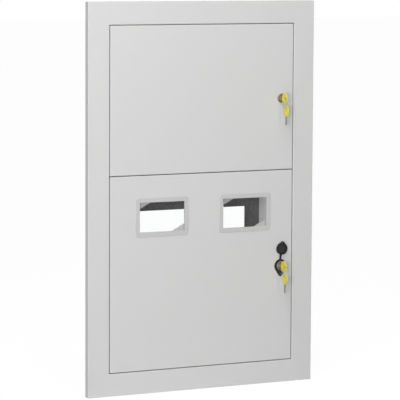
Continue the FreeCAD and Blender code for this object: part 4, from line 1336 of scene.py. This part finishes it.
@dataclass
class CableEntries:
    """Rubber grommets with a stepped membrane that is cut to the cable."""

    finishes: Finishes
    count: int = 48
    profile: tuple = (
        (0.0, 5.3), (2.0, 5.3), (2.2, 4.9), (5.0, 4.9), (5.2, 5.3), (8.0, 5.3), (8.2, 4.9), (10.4, 4.9),
        (11.0, 4.5), (11.0, 0.6), (11.6, 0.0), (16.2, 0.0), (16.8, 0.3), (17.0, 0.9), (17.0, 2.0),
        (16.6, 2.5), (14.0, 2.5), (14.0, 4.0), (16.6, 4.0), (17.0, 4.4), (17.0, 5.6), (16.2, 6.5),
        (11.6, 6.5), (11.0, 6.1), (8.2, 6.1), (8.0, 6.5), (5.2, 6.5), (5.0, 6.1), (2.2, 6.1), (2.0, 6.5),
        (0.0, 6.5))

    def build(self) -> None:
        """Makes the grommets of the top and the bottom."""
        for node, way in (("top_grommets", Way.DOWN), ("bottom_grommets", Way.UP)):
            piece = Piece()
            for box in solids_of(node):
                piece.turn(self.profile, Axis.through(box, way), self.count)
            piece.finish(node, self.finishes)


@dataclass(frozen=True)
class Lamp:
    """One square soft lamp that faces the box."""

    name: str
    place: tuple
    power: float
    size: float

    def hang(self) -> None:
        """Adds the lamp to the scene."""
        light = bpy.data.lights.new(self.name, "AREA")
        light.size = self.size
        light.energy = self.power
        lamp = bpy.data.objects.new(self.name, light)
        lamp.location = self.place
        lamp.visible_camera = False
        lamp.rotation_euler = (-Vector(self.place)).to_track_quat("-Z", "Y").to_euler()
        bpy.context.scene.collection.objects.link(lamp)


@dataclass
class Studio:
    """Pale floor, white surroundings and soft lamps."""

    floor_side: float = 60.0
    floor_gap: float = 0.0005
    floor_colour: tuple = (0.82, 0.82, 0.82, 1.0)
    floor_roughness: float = 0.8
    seen_white: float = 0.93
    seen_glow: float = 1.04
    fill: float = 0.10
    lamps: tuple = (
        Lamp("key_lamp", (-2.6, -3.4, 0.4), 82.0, 1.2),
        Lamp("top_lamp", (-0.75, -1.3, 2.6), 45.0, 1.4),
        Lamp("front_lamp", (0.65, -2.9, 1.65), 14.0, 0.45),
    )

    def build(self) -> None:
        """Builds the floor, the world and the lamps."""
        self._floor()
        self._world()
        for lamp in self.lamps:
            lamp.hang()

    def _floor(self) -> None:
        """Lays the floor under the box."""
        mesh = bpy.data.meshes.new("floor")
        shape = bmesh.new()
        bmesh.ops.create_grid(shape, x_segments=1, y_segments=1, size=self.floor_side / 2)
        bmesh.ops.translate(shape, verts=shape.verts, vec=(0.0, 0.0, CAD_BOX[0][2] - self.floor_gap))
        shape.to_mesh(mesh)
        shape.free()
        floor = bpy.data.objects.new("floor", mesh)
        bpy.context.scene.collection.objects.link(floor)
        material = bpy.data.materials.new("pale_floor")
        material.use_nodes = True
        graph = Graph(material.node_tree)
        lit = graph.add("ShaderNodeBsdfPrincipled",
                        {"Base Color": self.floor_colour, "Roughness": self.floor_roughness})
        bright = graph.add("ShaderNodeEmission", {"Color": WHITE, "Strength": self.seen_glow})
        share = graph.math("MULTIPLY", self._seen(graph), self.seen_white)
        mixed = graph.add("ShaderNodeMixShader", {0: share, 1: lit.outputs[0], 2: bright.outputs[0]})
        graph.add("ShaderNodeOutputMaterial", {"Surface": mixed.outputs[0]})
        mesh.materials.append(material)

    @staticmethod
    def _seen(graph: Graph) -> bpy.types.NodeSocket:
        """Tells the rays that see the white surroundings from those that light the box.

        Args:
            graph: the tree of the floor or the world.

        Returns:
            1 for a camera, glossy or transmission ray, otherwise 0.
        """
        path = graph.add("ShaderNodeLightPath").outputs
        either = graph.math("MAXIMUM", path["Is Camera Ray"], path["Is Glossy Ray"])
        return graph.math("MAXIMUM", either, path["Is Transmission Ray"])

    def _world(self) -> None:
        """Makes the surroundings: white where they are seen, weaker where they light."""
        world = bpy.data.worlds.new("surroundings")
        world.use_nodes = True
        graph = Graph(world.node_tree)
        strength = graph.between(self._seen(graph), self.fill, 1.0)
        back = graph.add("ShaderNodeBackground", {"Color": WHITE, "Strength": strength})
        graph.add("ShaderNodeOutputWorld", {"Surface": back.outputs[0]})
        bpy.context.scene.world = world


@dataclass
class PhotoCamera:
    """The camera at the photograph's view, fitted to the face's corners."""

    place: tuple = (-2.9318, -5.7207, 0.6329)
    turn_deg: float = 27.695
    down_deg: float = 5.826
    roll_deg: float = 0.282
    lens_mm: float = 221.7
    sensor_mm: float = 36.0

    def build(self) -> None:
        """Sets up the scene's camera."""
        turn, down, roll = (math.radians(a) for a in (self.turn_deg, self.down_deg, self.roll_deg))
        forward = Vector((math.sin(turn) * math.cos(down), math.cos(turn) * math.cos(down), -math.sin(down)))
        level = Vector((math.cos(turn), -math.sin(turn), 0.0))
        right = level * math.cos(roll) + level.cross(forward) * math.sin(roll)
        up = right.cross(forward)
        data = bpy.data.cameras.new("photo_camera")
        data.lens = self.lens_mm
        data.sensor_width = self.sensor_mm
        camera = bpy.data.objects.new("photo_camera", data)
        facing = Matrix((right, up, -forward)).transposed().to_4x4()
        camera.matrix_world = Matrix.Translation(self.place) @ facing
        bpy.context.scene.collection.objects.link(camera)
        bpy.context.scene.camera = camera


def main() -> None:
    """Builds the scene in order."""
    logging.basicConfig(level=logging.INFO, format="%(name)s: %(message)s")
    centres = {}
    for lock in ("upper", "lower"):
        low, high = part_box(f"{lock}_lock_body")
        centres[lock] = tuple((low + high) / 2)
    finishes = Finishes(centres)
    for node, slot in finishes.slots.items():
        finishes.dress(node)
        log.info("%s: %s", node, slot.value)
    for lock in centres:
        CamLock(lock, finishes).build()
    LockCover(finishes).build()
    Fasteners(finishes).build()
    CableEntries(finishes).build()
    Studio().build()
    PhotoCamera().build()
    bpy.context.scene.view_settings.view_transform = "Standard"


if __name__ == "__main__":
    main()
